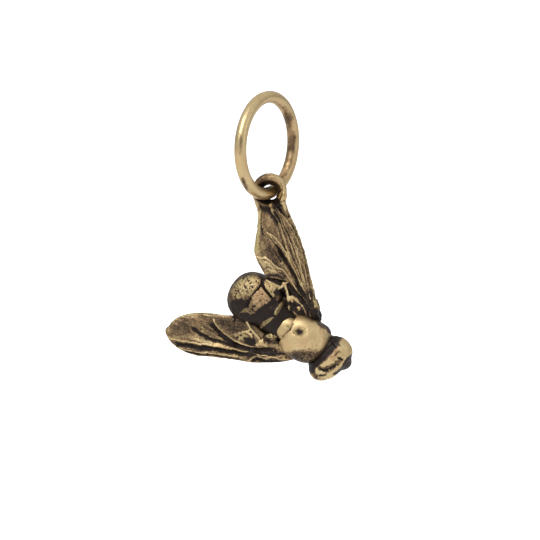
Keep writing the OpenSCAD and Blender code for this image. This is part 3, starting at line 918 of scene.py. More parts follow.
# Across each wing, from the tip to the root: a pixel on its leading edge, then one on its trailing edge
LEFT_RIBS_PX = [
    (285.5, 204, 258, 204), (289, 213, 258, 213), (294, 224, 257, 224), (299, 236, 255.5, 236),
    (303, 248, 254, 246), (305.5, 257, 254, 253), (307, 263, 257, 262), (308.5, 269, 262, 271),
    (310, 275, 267, 277), (311.5, 281, 277, 279.5), (313, 287, 287, 282), (314.5, 293, 294, 289),
    (316, 300, 302, 298), (317.5, 307, 307, 307), (318, 314, 311, 315), (319, 318.5, 310, 319),
    (319.5, 323, 309, 324)]
RIGHT_RIBS_PX = [
    (164.5, 334, 164.5, 330), (167, 339.5, 167.5, 327), (172, 345, 172, 321.7),
    (181, 351.5, 181, 316.5), (195, 356.5, 195, 313.6), (209, 357.5, 210, 313.9),
    (223, 359, 224, 315.6), (237, 360.8, 238, 316.5), (251, 363, 250, 321), (265, 363, 261, 330),
    (279, 362.5, 270, 337), (290, 360.5, 279, 343), (300, 357, 288, 348)]
LEFT_WING_MARKS = VEIN_MARKS + [
    # Ribs of the leading half
    (LINE, 0.08, -0.3, 0, 0.48, [(284.1, 217.7), (287.7, 223.2), (291.4, 228.6), (295, 235),
        (298.6, 244.1), (300.5, 249.5), (303.2, 258.6), (304.1, 266.8), (305.9, 276.8), (307.7, 285.9),
        (308.6, 293.2)]),
    (LINE, 0.09, -0.25, -0.2, 0.52, [(281.4, 209.5), (285.9, 215.9), (291.4, 223.2), (296.8, 231.4),
        (300.5, 240.5), (304.1, 250.5), (306.8, 258.6), (308.6, 267.7), (310.5, 276.8), (312.7, 285.9),
        (314.5, 295)]),
    (LINE, 0.07, -0.3, 0, 0.5, [(284.5, 245), (288.6, 252), (292.5, 261), (296, 269), (299.5, 277),
        (303.5, 286)]),
    (LINE, 0.06, -0.3, -0.2, 0.5, [(292, 243), (296.5, 254), (299, 263), (302, 274), (304.5, 283)]),
    # Furrows between them
    (LINE, -0.04, 0.2, 0, 0.6, [(273, 216), (276.5, 223.5), (278.8, 230), (281, 238), (284, 246.5),
        (287, 255)]),
    (LINE, -0.03, 0.12, 0, 0.6, [(282, 228), (285.5, 237), (288.5, 246), (292, 257), (296, 269),
        (300, 281)]),
    (LINE, -0.03, 0.12, 0, 0.6, [(286, 232), (290, 241), (293.5, 250), (296, 259), (299, 270),
        (302, 281)]),
    (LINE, -0.03, 0.15, -0.3, 0.8, [(289, 222), (294, 230), (298, 238), (301, 247), (304, 257), (306, 268),
        (308, 279), (310, 290)]),
    # Dull and green patches
    (AREA, -0.02, 0.2, 0.1, 1.5, [(273, 207), (281, 216), (288, 229), (292, 243), (289, 243), (284, 230),
        (278, 219)]),
    (AREA, 0, 0.1, -0.9, 1.5, [(291, 221), (297, 231), (300, 241), (297, 240), (292, 230)]),
    (AREA, 0, 0.1, -0.8, 1.5, [(302, 246), (306, 257), (308, 268), (305, 268), (303, 258)]),
    # Middle rib and its twin
    (LINE, 0.13, -0.55, 0, 0.6, [(267, 232.3), (270.5, 236), (272.8, 240.5), (276, 244.8)]),
    (LINE, 0.13, -0.6, 0, 0.62, [(268.6, 233), (272.8, 236), (277.8, 241.4), (282.8, 247.2),
        (285.9, 251.8), (287.7, 256.8), (291.4, 264.1), (295, 272.3), (298.6, 280.5), (302.3, 287.7),
        (305, 293.2)]),
    (AREA, 0.04, -0.2, 0, 1.0, [(280, 246), (284, 248), (289, 256), (294, 266), (298, 276), (295, 273),
        (290, 264), (285, 256)]),
    # Deep groove behind them
    (LINE, -0.12, 0.5, 0, 0.9, [(271, 238), (273.3, 241.5), (276.8, 246.8), (281.4, 253.2),
        (285.9, 260.5)]),
    (LINE, -0.2, 0.5, 0.1, 2.0, [(276, 247), (281.4, 254.6), (285.9, 261.6), (290.5, 269), (294.5, 276),
        (297.7, 283), (300.5, 289.5), (303.2, 295.4), (305, 299)]),
    (LINE, -0.06, 0.45, 0, 0.7, [(274.5, 252), (278.6, 257.7), (282, 262.5)]),
    (SPOT, 0.05, -0.4, -0.5, 1.2, [(281.5, 262.5)]),
    # Trailing lobe and its ridge
    (LINE, 0.12, -0.8, 0, 0.7, [(255, 256.8), (260.5, 258.2), (264.5, 258.2), (268.6, 260), (273.2, 263.6),
        (277.7, 267.7), (282.3, 269.5), (285, 272.3), (287.3, 275.9), (290.5, 280.5), (294.1, 285.9),
        (297.7, 291.4), (300.5, 295.9), (304.1, 300)]),
    (AREA, 0.05, -0.38, -0.4, 1.5, [(257, 259), (263, 260), (270, 263), (276, 268.5), (281, 271.5),
        (278, 273), (268, 270), (263, 268)]),
    (LINE, -0.02, 0.4, 0.5, 1.1, [(263.5, 269), (268, 267.3), (273, 268.5), (281, 273.5), (286, 277)]),
    # Painted shadow under the lobe's edge
    (LINE, -0.03, 0.6, 0.3, 1.6, [(266, 276.5), (276, 275.5), (285, 279.5)]),
    # Rubbed trailing edge
    (LINE, 0.04, -0.65, -0.7, 2.4, [(260, 209), (258, 222.3), (257, 233.2), (256, 245.9), (255.5, 254)]),
    (LINE, -0.05, 0.4, 0, 0.7, [(261, 214), (260.6, 220), (260.6, 226), (261.3, 231), (264, 236)]),
    (SPOT, -0.06, 0.5, 0, 1.6, [(261.6, 229.5)]),
    # Shallow dish, its lower part darker as painted shade
    (AREA, -0.04, 0.0, 0.4, 2.5, [(262, 212), (271, 212), (277, 227), (281, 238), (274, 234), (264, 229)]),
    (AREA, -0.02, 0.25, -0.2, 4.0, [(264, 242), (272, 246), (281, 258), (277, 265), (268, 258)]),
    # Dented tip under the loop, dark with painted shade
    (AREA, -0.12, 1.1, 0.2, 1.2, [(270, 200), (278, 199.5), (281, 204), (284.5, 209), (289, 218),
        (286, 217), (280.5, 212), (276, 207)]),
    (AREA, 0, 0.6, 0, 2.0, [(256, 198), (268, 203), (276, 208), (280, 222), (276, 226), (270, 214),
        (262, 212), (256, 208)]),
    # Root: a raised facet with a painted highlight, dark patina and painted shade round it, and thin
    # painted highlights
    (AREA, 0.05, -1.5, -0.6, 0.9, [(313.6, 300), (317.4, 300.5), (318, 306.5), (314.3, 307)]),
    (AREA, 0, 0.9, 0, 1.5, [(304, 312), (312, 310), (319, 311), (323, 327), (306, 327)]),
    (AREA, 0, 0.5, 0, 3.0, [(294, 284), (303, 293), (310, 290), (318, 299), (319, 318), (304, 310)]),
    (LINE, 0.05, -1.0, 0, 0.5, [(308.6, 293), (309.8, 298), (311.3, 300)]),
    (LINE, 0.05, -0.9, 0, 0.4, [(313.6, 296), (313.8, 299.5)])]
RIGHT_WING_MARKS = [
    # Curved rib and the grooves behind it
    (LINE, 0.18, -0.8, 0, 0.7, [(212.8, 319.5), (217.8, 327.4), (223.3, 332.6), (228.9, 336.6),
        (235.6, 340.4), (242.2, 343.4), (248.9, 345.8), (255.4, 347.2)]),
    (LINE, -0.22, 0.75, 0.2, 2.3, [(211, 323), (217.5, 332), (225.2, 338.6), (234.3, 344), (244.2, 347.6),
        (254.4, 349.4), (268.9, 349.8), (278, 350.2)]),
    (LINE, -0.18, 0.65, 0, 1.6, [(191.5, 327.3), (198.9, 333.4), (206.7, 337.7), (213.8, 340.6),
        (222.2, 342.7), (231.1, 344.9), (240, 347.6)]),
    # Pale field between the grooves
    (AREA, 0.06, 0.28, -0.6, 2.0, [(198, 325), (210, 322), (219, 334), (229, 341), (221, 339),
        (208, 334)]),
    (LINE, 0.04, -0.3, 0, 0.5, [(200, 327), (208, 331), (216, 336), (224, 340)]),
    (LINE, 0.04, -0.3, 0, 0.5, [(205, 325), (212, 329), (219, 336)]),
    # Fold along the middle
    (LINE, 0.1, -0.25, 0.1, 2.2, [(190, 338), (200, 341), (210, 343.6), (222.2, 345.4), (232.2, 347.4),
        (243, 350.4)]),
    (LINE, 0.16, -0.6, 0, 0.8, [(167.7, 338.8), (176.7, 340.6), (187.8, 342.6), (198.9, 343.9),
        (210, 345.2), (222.2, 347), (232.2, 348.6), (242.2, 351.2), (251.1, 352.6), (260, 354.6),
        (271.1, 355.8), (284, 355.8)]),
    # Dark furrow and the edge strip
    (LINE, -0.24, 0.85, -0.2, 2.1, [(173, 343), (180, 345.4), (190, 347.2), (200, 348.4), (210, 349.2),
        (221.1, 350.6), (232.2, 352.4), (240, 353.8), (250, 355.5)]),
    (LINE, 0.1, -0.35, -0.2, 0.6, [(177.8, 348.2), (185.6, 350.8), (193.3, 352.6), (206.7, 353),
        (222.2, 354.4), (233.3, 356.2), (244.4, 359)]),
    (LINE, -0.1, 0.6, -0.1, 1.1, [(183, 352), (198, 355), (214, 356), (230, 358), (243, 360.8)]),
    # Crumpled root
    (LINE, 0.2, -0.45, 0, 1.2, [(246.7, 362.2), (252.2, 357.8), (257.8, 356.1), (265.6, 357.8),
        (272.2, 356.5), (280, 358.2), (290, 359)]),
    (LINE, -0.12, 0.8, 0, 1.2, [(251, 362), (258, 359.5), (266, 361), (276, 361.5), (284, 361.5)]),
    (LINE, -0.1, 0.8, 0, 1.1, [(246, 352.6), (254, 352.6), (266, 353), (276, 353.2), (286, 353.5)]),
    (LINE, -0.1, 0.5, 0, 0.9, [(252, 347), (262, 351.2), (276, 351.4)]),
    (LINE, -0.08, 0.8, 0, 0.8, [(232, 316.5), (235, 318), (234.5, 322)]),
    # Stains of the field; the last also holds the abdomen's painted shadow on the wing
    (AREA, 0.03, 0, 0.6, 2.5, [(195, 317), (208, 315.5), (212, 318), (205, 325), (196, 325)]),
    (AREA, 0, 0.2, 0.3, 3.0, [(170, 328), (182, 320), (196, 319), (200, 330), (186, 335), (170, 335)]),
    (AREA, 0, 0.4, 0.3, 3.0, [(216, 318), (236, 317), (246, 324), (246, 333), (236, 337), (224, 330)]),
    # Torn facet beside the leg
    (AREA, 0.05, -0.45, -0.7, 1.4, [(233, 334), (242, 331.5), (248, 335), (245, 341), (238, 339)]),
    (SPOT, -0.08, 0.9, -0.3, 1.3, [(237.5, 337.5), (241, 336), (244.5, 338)]),
    (AREA, 0, 0.75, 0.1, 2.0, [(246, 337), (254, 338), (257, 345), (250, 345.5), (244, 341)]),
    # Dull root, rubbed edge
    (AREA, 0, 0.3, 0.1, 2.0, [(250, 350), (280, 351), (292, 356), (290, 363), (262, 363), (248, 359)]),
    (LINE, 0.06, -0.3, -0.5, 1.0, [(170, 325), (177, 319), (186, 316.3), (197, 315), (208, 315.3),
        (213, 318)])]


def wing_sheet(ribs_px, marks, z, middle, seed, tip, along):
    """A closed wing: its upper face has the marks, its lower face follows them less deeply."""
    ribs = curve_through(np.array(ribs_px), 12)
    at = np.linspace(0, len(ribs) - 1, WING_ROWS)
    row = np.stack([np.interp(at, np.arange(len(ribs)), ribs[:, k]) for k in range(4)], 1)
    lead, trail = at_height(row[:, :2], z), at_height(row[:, 2:], z)
    a = np.linspace(0, 2 * math.pi, WING_SIDES, endpoint=False)
    u = (1 - np.cos(a) + np.minimum(a, 2 * math.pi - a) / (math.pi / 2)) / 4
    flat = (lead[:, None] + (trail - lead)[:, None] * u[None, :, None]).reshape(-1, 3)
    rise = np.tile(np.sign(np.sin(a)) * np.abs(np.sin(a)) ** 0.5, WING_ROWS)
    taper = np.ones(WING_ROWS)
    if tip:
        taper = np.minimum(1, TIP_THICK_SHARE + np.sqrt(np.linspace(0, 1, WING_ROWS) / tip))
    side = rise * np.repeat(taper, WING_SIDES)
    height, stain_and_painted_light, tone = relief(to_px(flat), marks)
    drawn = np.stack([STREAK_SQUASH * flat @ along, flat @ beside(along), flat[:, 2]], 1)
    streaks = rough(drawn, STREAK_SIZE, seed + 12)
    grain = GRAIN_HEIGHT * rough(flat, GRAIN_SIZE, seed) + DENT_HEIGHT * noise(flat, DENT_SIZE, seed + 5)
    share = np.where(side > 0, np.minimum(1, 2 * side), UNDER_SHARE)
    points = flat.copy()
    points[:, 2] = middle(flat) + WING_THICK / 2 * side + share * (height + grain + STREAK_HEIGHT * streaks)
    edge = np.abs(rise) < EDGE_RISE
    points[:, :2] += np.where(edge, EDGE_WOBBLE * rough(flat, EDGE_SIZE, seed + 9), 0)[:, None]
    quads = np.concatenate([ring_quads(WING_ROWS, WING_SIDES, False), cap_quads(WING_ROWS, WING_SIDES)])
    return [points, outward(points, quads), WING_STAIN + STREAK_STAIN * streaks + stain_and_painted_light * share, tone]


def left_middle(p):
    """Height of the left wing's middle: it has a raised lobe and dips under the thorax."""
    run = (p - LEFT_ROOT) @ LEFT_ALONG
    lobe = bell(np.linalg.norm((p - LOBE_AT)[:, :2], axis=1), LOBE_WIDE)
    dip = ROOT_DIP * step_up(*ROOT_DIP_RUN, run)
    return LEFT_ROOT[2] + LEFT_RISE * run + LOBE_HIGH * lobe - LEFT_DROP - dip


def right_middle(p):
    return RIGHT_ROOT[2] + RIGHT_RISE * ((p - RIGHT_ROOT) @ RIGHT_ALONG)


def make_wings():
    cast = wing_sheet(LEFT_RIBS_PX, LEFT_WING_MARKS, LEFT_SEEN_AT, left_middle, LEFT_SEED, 0, LEFT_ALONG)
    add_piece("left_wing", cast, "veined_metal", WING_REACH)
    cast = wing_sheet(RIGHT_RIBS_PX, RIGHT_WING_MARKS, RIGHT_SEEN_AT, right_middle, RIGHT_SEED,
                      RIGHT_TIP_SHARE, RIGHT_ALONG)
    add_piece("right_wing", cast, "veined_metal", WING_REACH)


make_wings()


# Thorax and scutellum

THORAX_HALF = np.array([2.605, THORAX[1] / 2, THORAX[2] / 2])
THORAX_BACK = -1.86
THORAX_STEP = 0.06
THORAX_MARGIN = 0.3
SHOULDER_PX = (322.6, 333)
SHOULDER_AT = at_height([SHOULDER_PX], -0.6)[0]
SHOULDER_HALF = np.array([0.9, 0.8, 1.1])
SCUTELLUM_AT = np.array([THORAX_BACK - 0.1, 0, 0.16 * THORAX[2]])
SCUTELLUM_HALF = np.array([1.25, 1.15, 0.72])
SCUTELLUM_STEP = 0.05
SCUTELLUM_BOX = (np.array([-1.9, -1.7, -1.2]), np.array([0.6, 1.7, 1.2]))
DOME_POWER = 2.25
TONGUE_POWER = 2.1
TONGUE_RIM = 0.15
TONGUE_BLEND = 0.3
CHEST_BLEND = 0.5
CHEST_LAP = 0.1
CHEST_CUT = 0.04
CHEST_STAIN = -0.12
BELLY_SHADE = 0.6
WORN_SPOTS = (0.2, 0.13, 57, 2)
SCUTELLUM_STAIN = -0.1
SCUTELLUM_TONE = -0.2
BRIGHT_REACH = 0.3
CHEST_MARKS = [
    # Seam of the shield
    (LINE, -0.09, 0.9, 0, 0.85, [(293.8, 322), (291, 327.5), (286.5, 333), (281.3, 338.6)]),
    (SPOT, -0.06, 0.85, -0.4, 1.9, [(288, 327.2)]),
    (SPOT, -0.05, 0.5, -0.4, 1.8, [(280.5, 336.5)]),
    # Dimple
    (AREA, -0.04, 0.72, -0.5, 1.8, [(291.6, 329.6), (295.2, 325.9), (301.6, 325), (306.8, 328.4),
        (307, 333.6), (302.8, 337), (296.6, 337), (292.4, 333.8)]),
    (AREA, -0.01, 0.8, 0.1, 1.6, [(295.6, 330.2), (299.5, 328.6), (303, 330.6), (302.4, 333.8),
        (298, 334.6)]),
    # Painted highlights on the dome, and a rosy place
    (SPOT, 0.02, -0.35, 0, 6.5, [(309, 333), (284.5, 343)]),
    (AREA, 0, 0.12, 0.5, 3.0, [(299, 341), (307, 341), (309, 346), (300, 347)]),
    # Painted shade along the lower border, and pits in it
    (AREA, 0, 1.18, -0.1, 5.5, [(284, 352), (296, 350), (308, 349), (318, 350), (324, 352), (322, 366),
        (290, 366)]),
    (SPOT, -0.04, 0.35, 0.5, 0.6, [(306.5, 341), (313, 346.5), (309.5, 348.5), (315.5, 350.5),
        (304.5, 346.5), (298.2, 345.2), (316.5, 345.5), (312, 343)]),
    # Shoulder: painted shade over its flank, dark patina along its edge
    (LINE, -0.03, 0.25, 0.3, 1.4, [(317.5, 321), (320.5, 331), (319.5, 339), (317, 347)]),
    (AREA, 0.03, 0.42, 0.2, 2.2, [(320, 326), (326, 326), (331, 335), (329, 346), (321, 350), (321, 338)]),
    (AREA, 0, 0.85, 0.2, 1.8, [(309, 317), (318, 315), (327, 320.5), (333, 330), (331, 335), (325.5, 330),
        (319.5, 326.5), (314, 321.5)]),
    (LINE, -0.03, 1.0, 0.4, 2.8, [(317, 315), (321, 318.5), (326, 322.5), (330, 328), (333, 334),
        (334, 341)])]


def chest_base(p):
    dome = oval(p, np.zeros(3), THORAX_HALF, DOME_POWER)
    dome = smooth_min(dome, oval(p, SHOULDER_AT, SHOULDER_HALF), CHEST_BLEND)
    return smooth_min(dome, oval(p, SCUTELLUM_AT, SCUTELLUM_HALF, TONGUE_POWER), CHEST_BLEND)


def thorax_base(p):
    return smooth_max(chest_base(p), THORAX_BACK - p[:, 0], CHEST_CUT)


def scutellum_base(p):
    tongue = oval(p, SCUTELLUM_AT, SCUTELLUM_HALF + TONGUE_RIM, TONGUE_POWER)
    tongue = smooth_max(chest_base(p), tongue, TONGUE_BLEND)
    return smooth_max(tongue, p[:, 0] - THORAX_BACK - CHEST_LAP, CHEST_CUT)


def chest_grain(p):
    """Fine grain, stronger in front and on the right side, and broad dents."""
    worn = step_up(0.2, 1.2, p[:, 0]) + 0.6 * step_up(0, -1.6, p[:, 1])
    return 0.01 * rough(p, 0.35, 51) * (0.3 + worn) + 0.025 * noise(p, 1.3, 55)


def make_chest():
    """The thorax, dark below as painted shade and spotted where it is worn, and the greenish scutellum."""
    half = THORAX_HALF + THORAX_MARGIN
    cast = sculpt(thorax_base, -half, half, THORAX_STEP, CHEST_MARKS, chest_grain)
    belly = step_up(0.3, 1.5, -cast[0][:, 2])
    worn = step_up(0.2, 1.4, cast[0][:, 0]) + step_up(0.3, -1.2, cast[0][:, 1])
    cast[2] += BELLY_SHADE * belly + CHEST_STAIN + worn * layers(cast[0], [WORN_SPOTS])
    add_piece("thorax", cast, "bright_metal", BRIGHT_REACH)
    low, high = SCUTELLUM_AT + SCUTELLUM_BOX[0], SCUTELLUM_AT + SCUTELLUM_BOX[1]
    cast = sculpt(scutellum_base, low, high, SCUTELLUM_STEP, CHEST_MARKS, chest_grain)
    cast[2] += SCUTELLUM_STAIN
    cast[3] += SCUTELLUM_TONE
    add_piece("scutellum", cast, "bright_metal", BRIGHT_REACH)


make_chest()


# Head and eyes

NECK = np.array([2.44, 0, -0.04 * THORAX[2]])
HEAD_TURN = turn("Z", -11)
HEAD_MIDDLE = np.array([0.98, 0, 0])
HEAD_HALF = np.array([1.667, HEAD[1] / 2, HEAD[2] / 2])
HEAD_BACK = -0.15
HEAD_STEP = 0.055
HEAD_BOX = (NECK - [1.2, 3.2, 1.9], NECK + [3.2, 3.2, 1.9])
HEAD_POWER = 2.5
HEAD_BACK_BLEND = 0.3
COLLAR_HALF = np.array([0.8, 2.15, 1.2])
COLLAR_BLEND = 0.15
EYE_SEAT = HEAD[1] / 2 - 1.0
EYE_GAP = 0.02
SEAM = 0.02
CHEEK_PX = (318.3, 371.8)
CHEEK_AT = at_height([CHEEK_PX], -0.2)[0]
CHEEK_HALF = np.array([0.95, 0.8, 1.1])
CHEEK_BLEND = 0.4
FACE_PX = (343.5, 361.5)
FACE_AT = at_height([FACE_PX], -0.5)[0]
FACE_HALF = np.array([0.85, 0.85, 1.0])
FACE_BLEND = 0.3
MOUTH_PX = (348, 362)
MOUTH_AT = at_height([MOUTH_PX], -0.7)[0]
HEAD_GRAIN = ((0.03, 0.6, 61, 3), (0.03, 1.5, 66, 1))
HEAD_STAIN = 0.1
HEAD_SPOTS = (0.15, 0.5, 68, 3)
NECK_STAIN = 1.1
MOUTH_STAIN = 1.1
UNDER_STAIN = 0.6
HEAD_MARKS = [
    # Pale band over the head
    (LINE, 0.1, -0.3, 0.1, 2.3, [(341.5, 346.5), (337, 351.3), (332, 357), (326, 362.5), (320, 367.2)]),
    (AREA, 0, 0.12, -0.2, 3.0, [(341, 338), (353, 342), (353, 355), (346, 357), (341, 352)]),
    (LINE, 0.03, -0.3, -0.1, 1.6, [(345, 339.8), (350, 343.5), (351.5, 350)]),
    # Dark neck and the brown strip beside it
    (AREA, -0.06, 1.05, 0.4, 2.0, [(331, 336), (339, 338.5), (336.8, 346), (331.4, 352.6), (326, 358),
        (320.5, 363), (316.4, 366.4), (314, 371), (310, 374), (308, 364), (316, 356), (325, 345)]),
    (AREA, 0, 0.72, 0.3, 1.4, [(338, 342), (341, 345), (337, 351.3), (331.5, 357.5), (325, 363),
        (318, 368), (315, 367), (321, 361), (327, 355.5), (332, 349.5)]),
    # Creases of the brow
    (LINE, -0.06, 0.6, -0.3, 1.1, [(339.3, 351), (337, 353), (334.8, 355.4)]),
    (LINE, 0, 0.4, 0.5, 2.2, [(340, 351), (336.5, 354.5), (332, 359.5)]),
    (LINE, -0.08, 0.6, -0.4, 1.1, [(337.3, 357.3), (340.5, 359.3), (343.6, 359.6)]),
    (LINE, -0.05, 0.5, -0.4, 0.9, [(343.5, 354.5), (341, 357), (339, 358.6)]),
    (SPOT, 0.1, -0.4, -0.2, 1.8, [(342.5, 355.5), (345, 357)]),
    # Hollow of the face
    (AREA, -0.05, 0.7, 0.1, 1.2, [(340, 358), (343.5, 361), (340, 365), (335, 369), (329, 372),
        (322, 372.5), (318, 369.5), (319.5, 366.5), (325, 367), (331, 363.8), (336, 360.5)]),
    (LINE, -0.08, 0.5, -0.2, 1.1, [(337, 364.5), (332.5, 367), (328, 369.5), (323, 371), (319.5, 369.6)]),
    (SPOT, 0.12, -0.5, -0.4, 0.9, [(333.5, 362.5), (329.5, 370), (337, 366), (324.5, 367.2)]),
    # Lobe below it
    (LINE, -0.06, 0.5, -0.2, 1.1, [(318.4, 367), (320.4, 370.4), (323.5, 371), (328, 371)]),
    (LINE, 0.12, -0.4, -0.3, 1.3, [(342.5, 362), (339, 366.5), (335, 370), (331, 373), (326, 377)]),
    (LINE, 0.1, -0.4, -0.2, 1.5, [(316.5, 369), (317.7, 372.5), (321, 373.5), (326, 373)]),
    (LINE, -0.08, 0.7, -0.4, 1.7, [(318.8, 376), (322, 375.4), (327, 374)]),
    # Painted shade along the lobe's left edge
    (LINE, 0, 0.75, -0.5, 2.2, [(313, 368), (314.5, 374), (318, 378)]),
    # Painted shade on the far side and along the rims
    (AREA, -0.05, 1.35, 0.1, 1.6, [(353, 354), (347, 358.5), (342.5, 364), (338, 369.5), (333, 374),
        (338, 376), (352, 370)]),
    (LINE, 0, 0.6, 0.2, 1.5, [(329, 337), (337, 337.3), (342, 336.8)]),
    (LINE, 0, 0.5, 0.1, 1.5, [(311, 368), (312, 375), (317, 379), (325, 380)])]


def head_base(p):
    q = (p - NECK) @ HEAD_TURN
    whole = oval(q, HEAD_MIDDLE, HEAD_HALF, HEAD_POWER)
    whole = smooth_min(whole, oval(p, CHEEK_AT, CHEEK_HALF), CHEEK_BLEND)
    whole = smooth_min(whole, oval(p, FACE_AT, FACE_HALF), FACE_BLEND)
    whole = smooth_max(whole, HEAD_BACK - q[:, 0], HEAD_BACK_BLEND)
    return smooth_min(whole, oval(q, np.zeros(3), COLLAR_HALF), COLLAR_BLEND)


def head_part(side):
    """One eye, left for side 1 and right for side -1, or for side 0 the head between them."""
    def shape(p):
        across = ((p - NECK) @ HEAD_TURN)[:, 1]
        cut = EYE_SEAT - side * across if side else np.abs(across) - EYE_SEAT - EYE_GAP
        return smooth_max(head_base(p), cut, SEAM)
    return shape


def head_stain(p):
    """Dark round the neck and the mouth, brown below."""
    neck = step_up(0.65, 0.0, ((p - NECK) @ HEAD_TURN)[:, 0])
    mouth = step_up(1.15, 0.7, np.linalg.norm(p - MOUTH_AT, axis=1))
    below = step_up(0.1, 1.0, -p[:, 2])
    most = np.max([NECK_STAIN * neck, MOUTH_STAIN * mouth, UNDER_STAIN * below], 0)
    return HEAD_STAIN + most + layers(p, [HEAD_SPOTS])


def make_head():
    for node, side in (("head", 0), ("left_eye", 1), ("right_eye", -1)):
        cast = sculpt(head_part(side), *HEAD_BOX, HEAD_STEP, HEAD_MARKS, grain_of(HEAD_GRAIN))
        cast[2] += head_stain(cast[0])
        add_piece(node, cast, "bright_metal", BRIGHT_REACH)


make_head()


# Hind body: waist, abdomen and tail

TAIL_MIDDLE = np.array([-6.5, 0.42, -0.5])
TAIL_HALF = np.array([2.55, ABDOMEN[1] / 2 - 0.03, ABDOMEN[2] / 2 - 0.02])
WAIST_FRONT = -1.7
BAND_CUT = -4.35
TAIL_CUT = -6.57
PAST_TAIL = -12
FRONT_LINE = np.array([[WAIST_FRONT, 0, -0.3], [-3.0, 0.1, -0.5], [-4.6, 0.3, -0.6]])
FRONT_RADII = (1.55, 1.85, 2.0)
FRONT_FLAT = (1, 1, 1.1)
BULGE_PX = (272, 290)
BULGE_AT = at_height([BULGE_PX], -0.3)[0]
BULGE_HALF = np.array([1.3, 1.1, 1.2])
TAIL_POWER = 2.2
HIND_BLEND = 0.3
HIND_BOX = ((-9.4, -2.9, -3.0), (-1.4, 3.7, 2.0))
HIND_STEP = 0.06
HIND_REACH = 0.25
HIND_GRAIN = ((0.02, 0.4, 73, 3), (0.05, 1.7, 77, 1))
PIT_DEPTH = 0.02
HIND_PATINA_AND_SHADE = 1.28
PITTED_STAIN = 0.2
HIND_SPOTS = (0.08, 0.3, 79, 3)
HIND_BACK_STAIN = -0.95
HIND_BACK_CLOUDS = (0.25, 1.5, 97, 1)

# Pieces of the hind body: node, metal, and where each ends behind and in front
HIND_PIECES = (
    ("tail", "body_metal", PAST_TAIL, TAIL_CUT),
    ("abdomen", "body_metal", TAIL_CUT, BAND_CUT),
    ("waist", "veined_metal", BAND_CUT, WAIST_FRONT))

# Bright facet beside the left wing, its brightness partly painted light, which runs over onto the
# crumpled metal
FACET_MARKS = [
    (AREA, 0.1, -1.02, -0.25, 1.0, [(263.8, 281.5), (266.5, 279.8), (274.2, 283.5), (281.4, 286.4),
        (276, 289.4), (272.5, 292.3), (274.8, 294.8), (272.7, 297.8), (269, 292.3), (265.2, 287.5)]),
    (SPOT, -0.03, 0.5, -0.3, 0.9, [(272.5, 290.5), (270, 286.5), (276, 288.5)]),
    (LINE, 0.08, -0.5, 0, 0.7, [(267, 280.4), (274.2, 284), (281.4, 286.6)])]
HIND_MARKS = FACET_MARKS + [
    # Rubbed dome, its bright top partly painted light, a rosy place and a green rim
    (AREA, 0.05, -0.85, -0.4, 2.6, [(231.2, 292.3), (234.2, 283.8), (240.4, 278.7), (247.3, 275.7),
        (255.8, 276.4), (261.2, 279.6), (261.9, 283.1), (255.8, 290), (251.9, 296.5), (245, 298.8),
        (238.8, 299.6), (232.7, 298.5)]),
    (AREA, 0, 0.0, 0.7, 2.0, [(255, 280), (261, 281), (261, 285), (256, 289)]),
    (AREA, 0, -0.3, -0.7, 3.5, [(225, 302), (228, 288), (236, 277), (248, 270), (262, 272), (258, 277),
        (246, 276), (235, 284), (231, 293), (232, 302)]),
    # Painted shade below the dome
    (AREA, 0, 0.35, -0.3, 3.0, [(244, 306), (254, 303), (262, 309), (250, 320), (243, 316)]),
    # Rosy patch, its brightness partly painted light, and its green corner
    (AREA, 0.04, -0.92, 0.5, 1.3, [(261.2, 286.6), (265, 291), (271.4, 299.4), (266.5, 303.8),
        (258.8, 309.2), (251.2, 316.6), (248.1, 313.1), (248.1, 306.9), (250.4, 300.8), (253.5, 295.2),
        (257.3, 290.8)]),
    (AREA, 0.02, -1.1, -1.0, 1.0, [(240.4, 312.3), (247.3, 306.9), (248.8, 313.1), (243.5, 312.9)]),
    (LINE, -0.06, -0.25, -0.9, 1.2, [(251, 316), (257, 311.5), (263, 307)]),
    # Seams between them
    (LINE, -0.13, 0.8, 0, 0.8, [(262.3, 283.3), (258.8, 288), (254.8, 292.4), (251.6, 297)]),
    (LINE, -0.12, 0.3, 0, 1.2, [(251.2, 297.7), (248.1, 303.1), (245.2, 308)]),
    (LINE, -0.2, 0.9, 0, 0.9, [(262, 279), (262, 284.6), (265, 289), (268.8, 293.8), (273, 299)]),
    # Two raised green facets at the waist, brightened as painted highlights
    (AREA, 0.12, -0.6, -1.0, 1.2, [(284, 299.6), (285.6, 303.5), (282, 308), (279.4, 312.8),
        (276.4, 316.4), (273.4, 315.2), (275.2, 309.2), (278.4, 303.6)]),
    (LINE, 0.06, -0.35, -0.5, 0.9, [(282.5, 302), (279, 306), (276.4, 311), (275, 314.8)]),
    (SPOT, 0.05, -0.4, 0, 0.8, [(275.2, 314)]),
    (AREA, 0.12, -0.9, -1.0, 1.2, [(274.2, 317.8), (271, 322), (266, 325), (260.5, 329), (258.6, 326.5),
        (262.8, 321.6), (268, 318.4)]),
    (SPOT, -0.06, 0.6, 0, 0.7, [(262, 325.5), (266, 322)]),
    # Painted highlight beside the wing, then pits
    (AREA, 0, -0.5, 0.2, 1.5, [(274, 295), (285, 296.5), (285, 300), (277, 301)]),
    (SPOT, -0.07, 0.7, 0.2, 0.8, [(236, 291), (238.5, 290.5), (236.5, 294), (245.5, 287.5), (248.5, 281.5),
        (250, 284), (244, 278.8), (256.5, 281.5), (258.5, 283.5), (247.5, 291), (235, 288), (253, 287.5),
        (252, 308.5), (253.5, 306), (252.8, 310.5), (262.3, 294), (260.5, 301)])]


def hind_base(p):
    """The whole hind body, front to back."""
    dome = oval(p, TAIL_MIDDLE, TAIL_HALF, TAIL_POWER)
    front = tube(p * FRONT_FLAT, FRONT_LINE, FRONT_RADII)
    return smooth_min(smooth_min(dome, front, HIND_BLEND), oval(p, BULGE_AT, BULGE_HALF), HIND_BLEND)


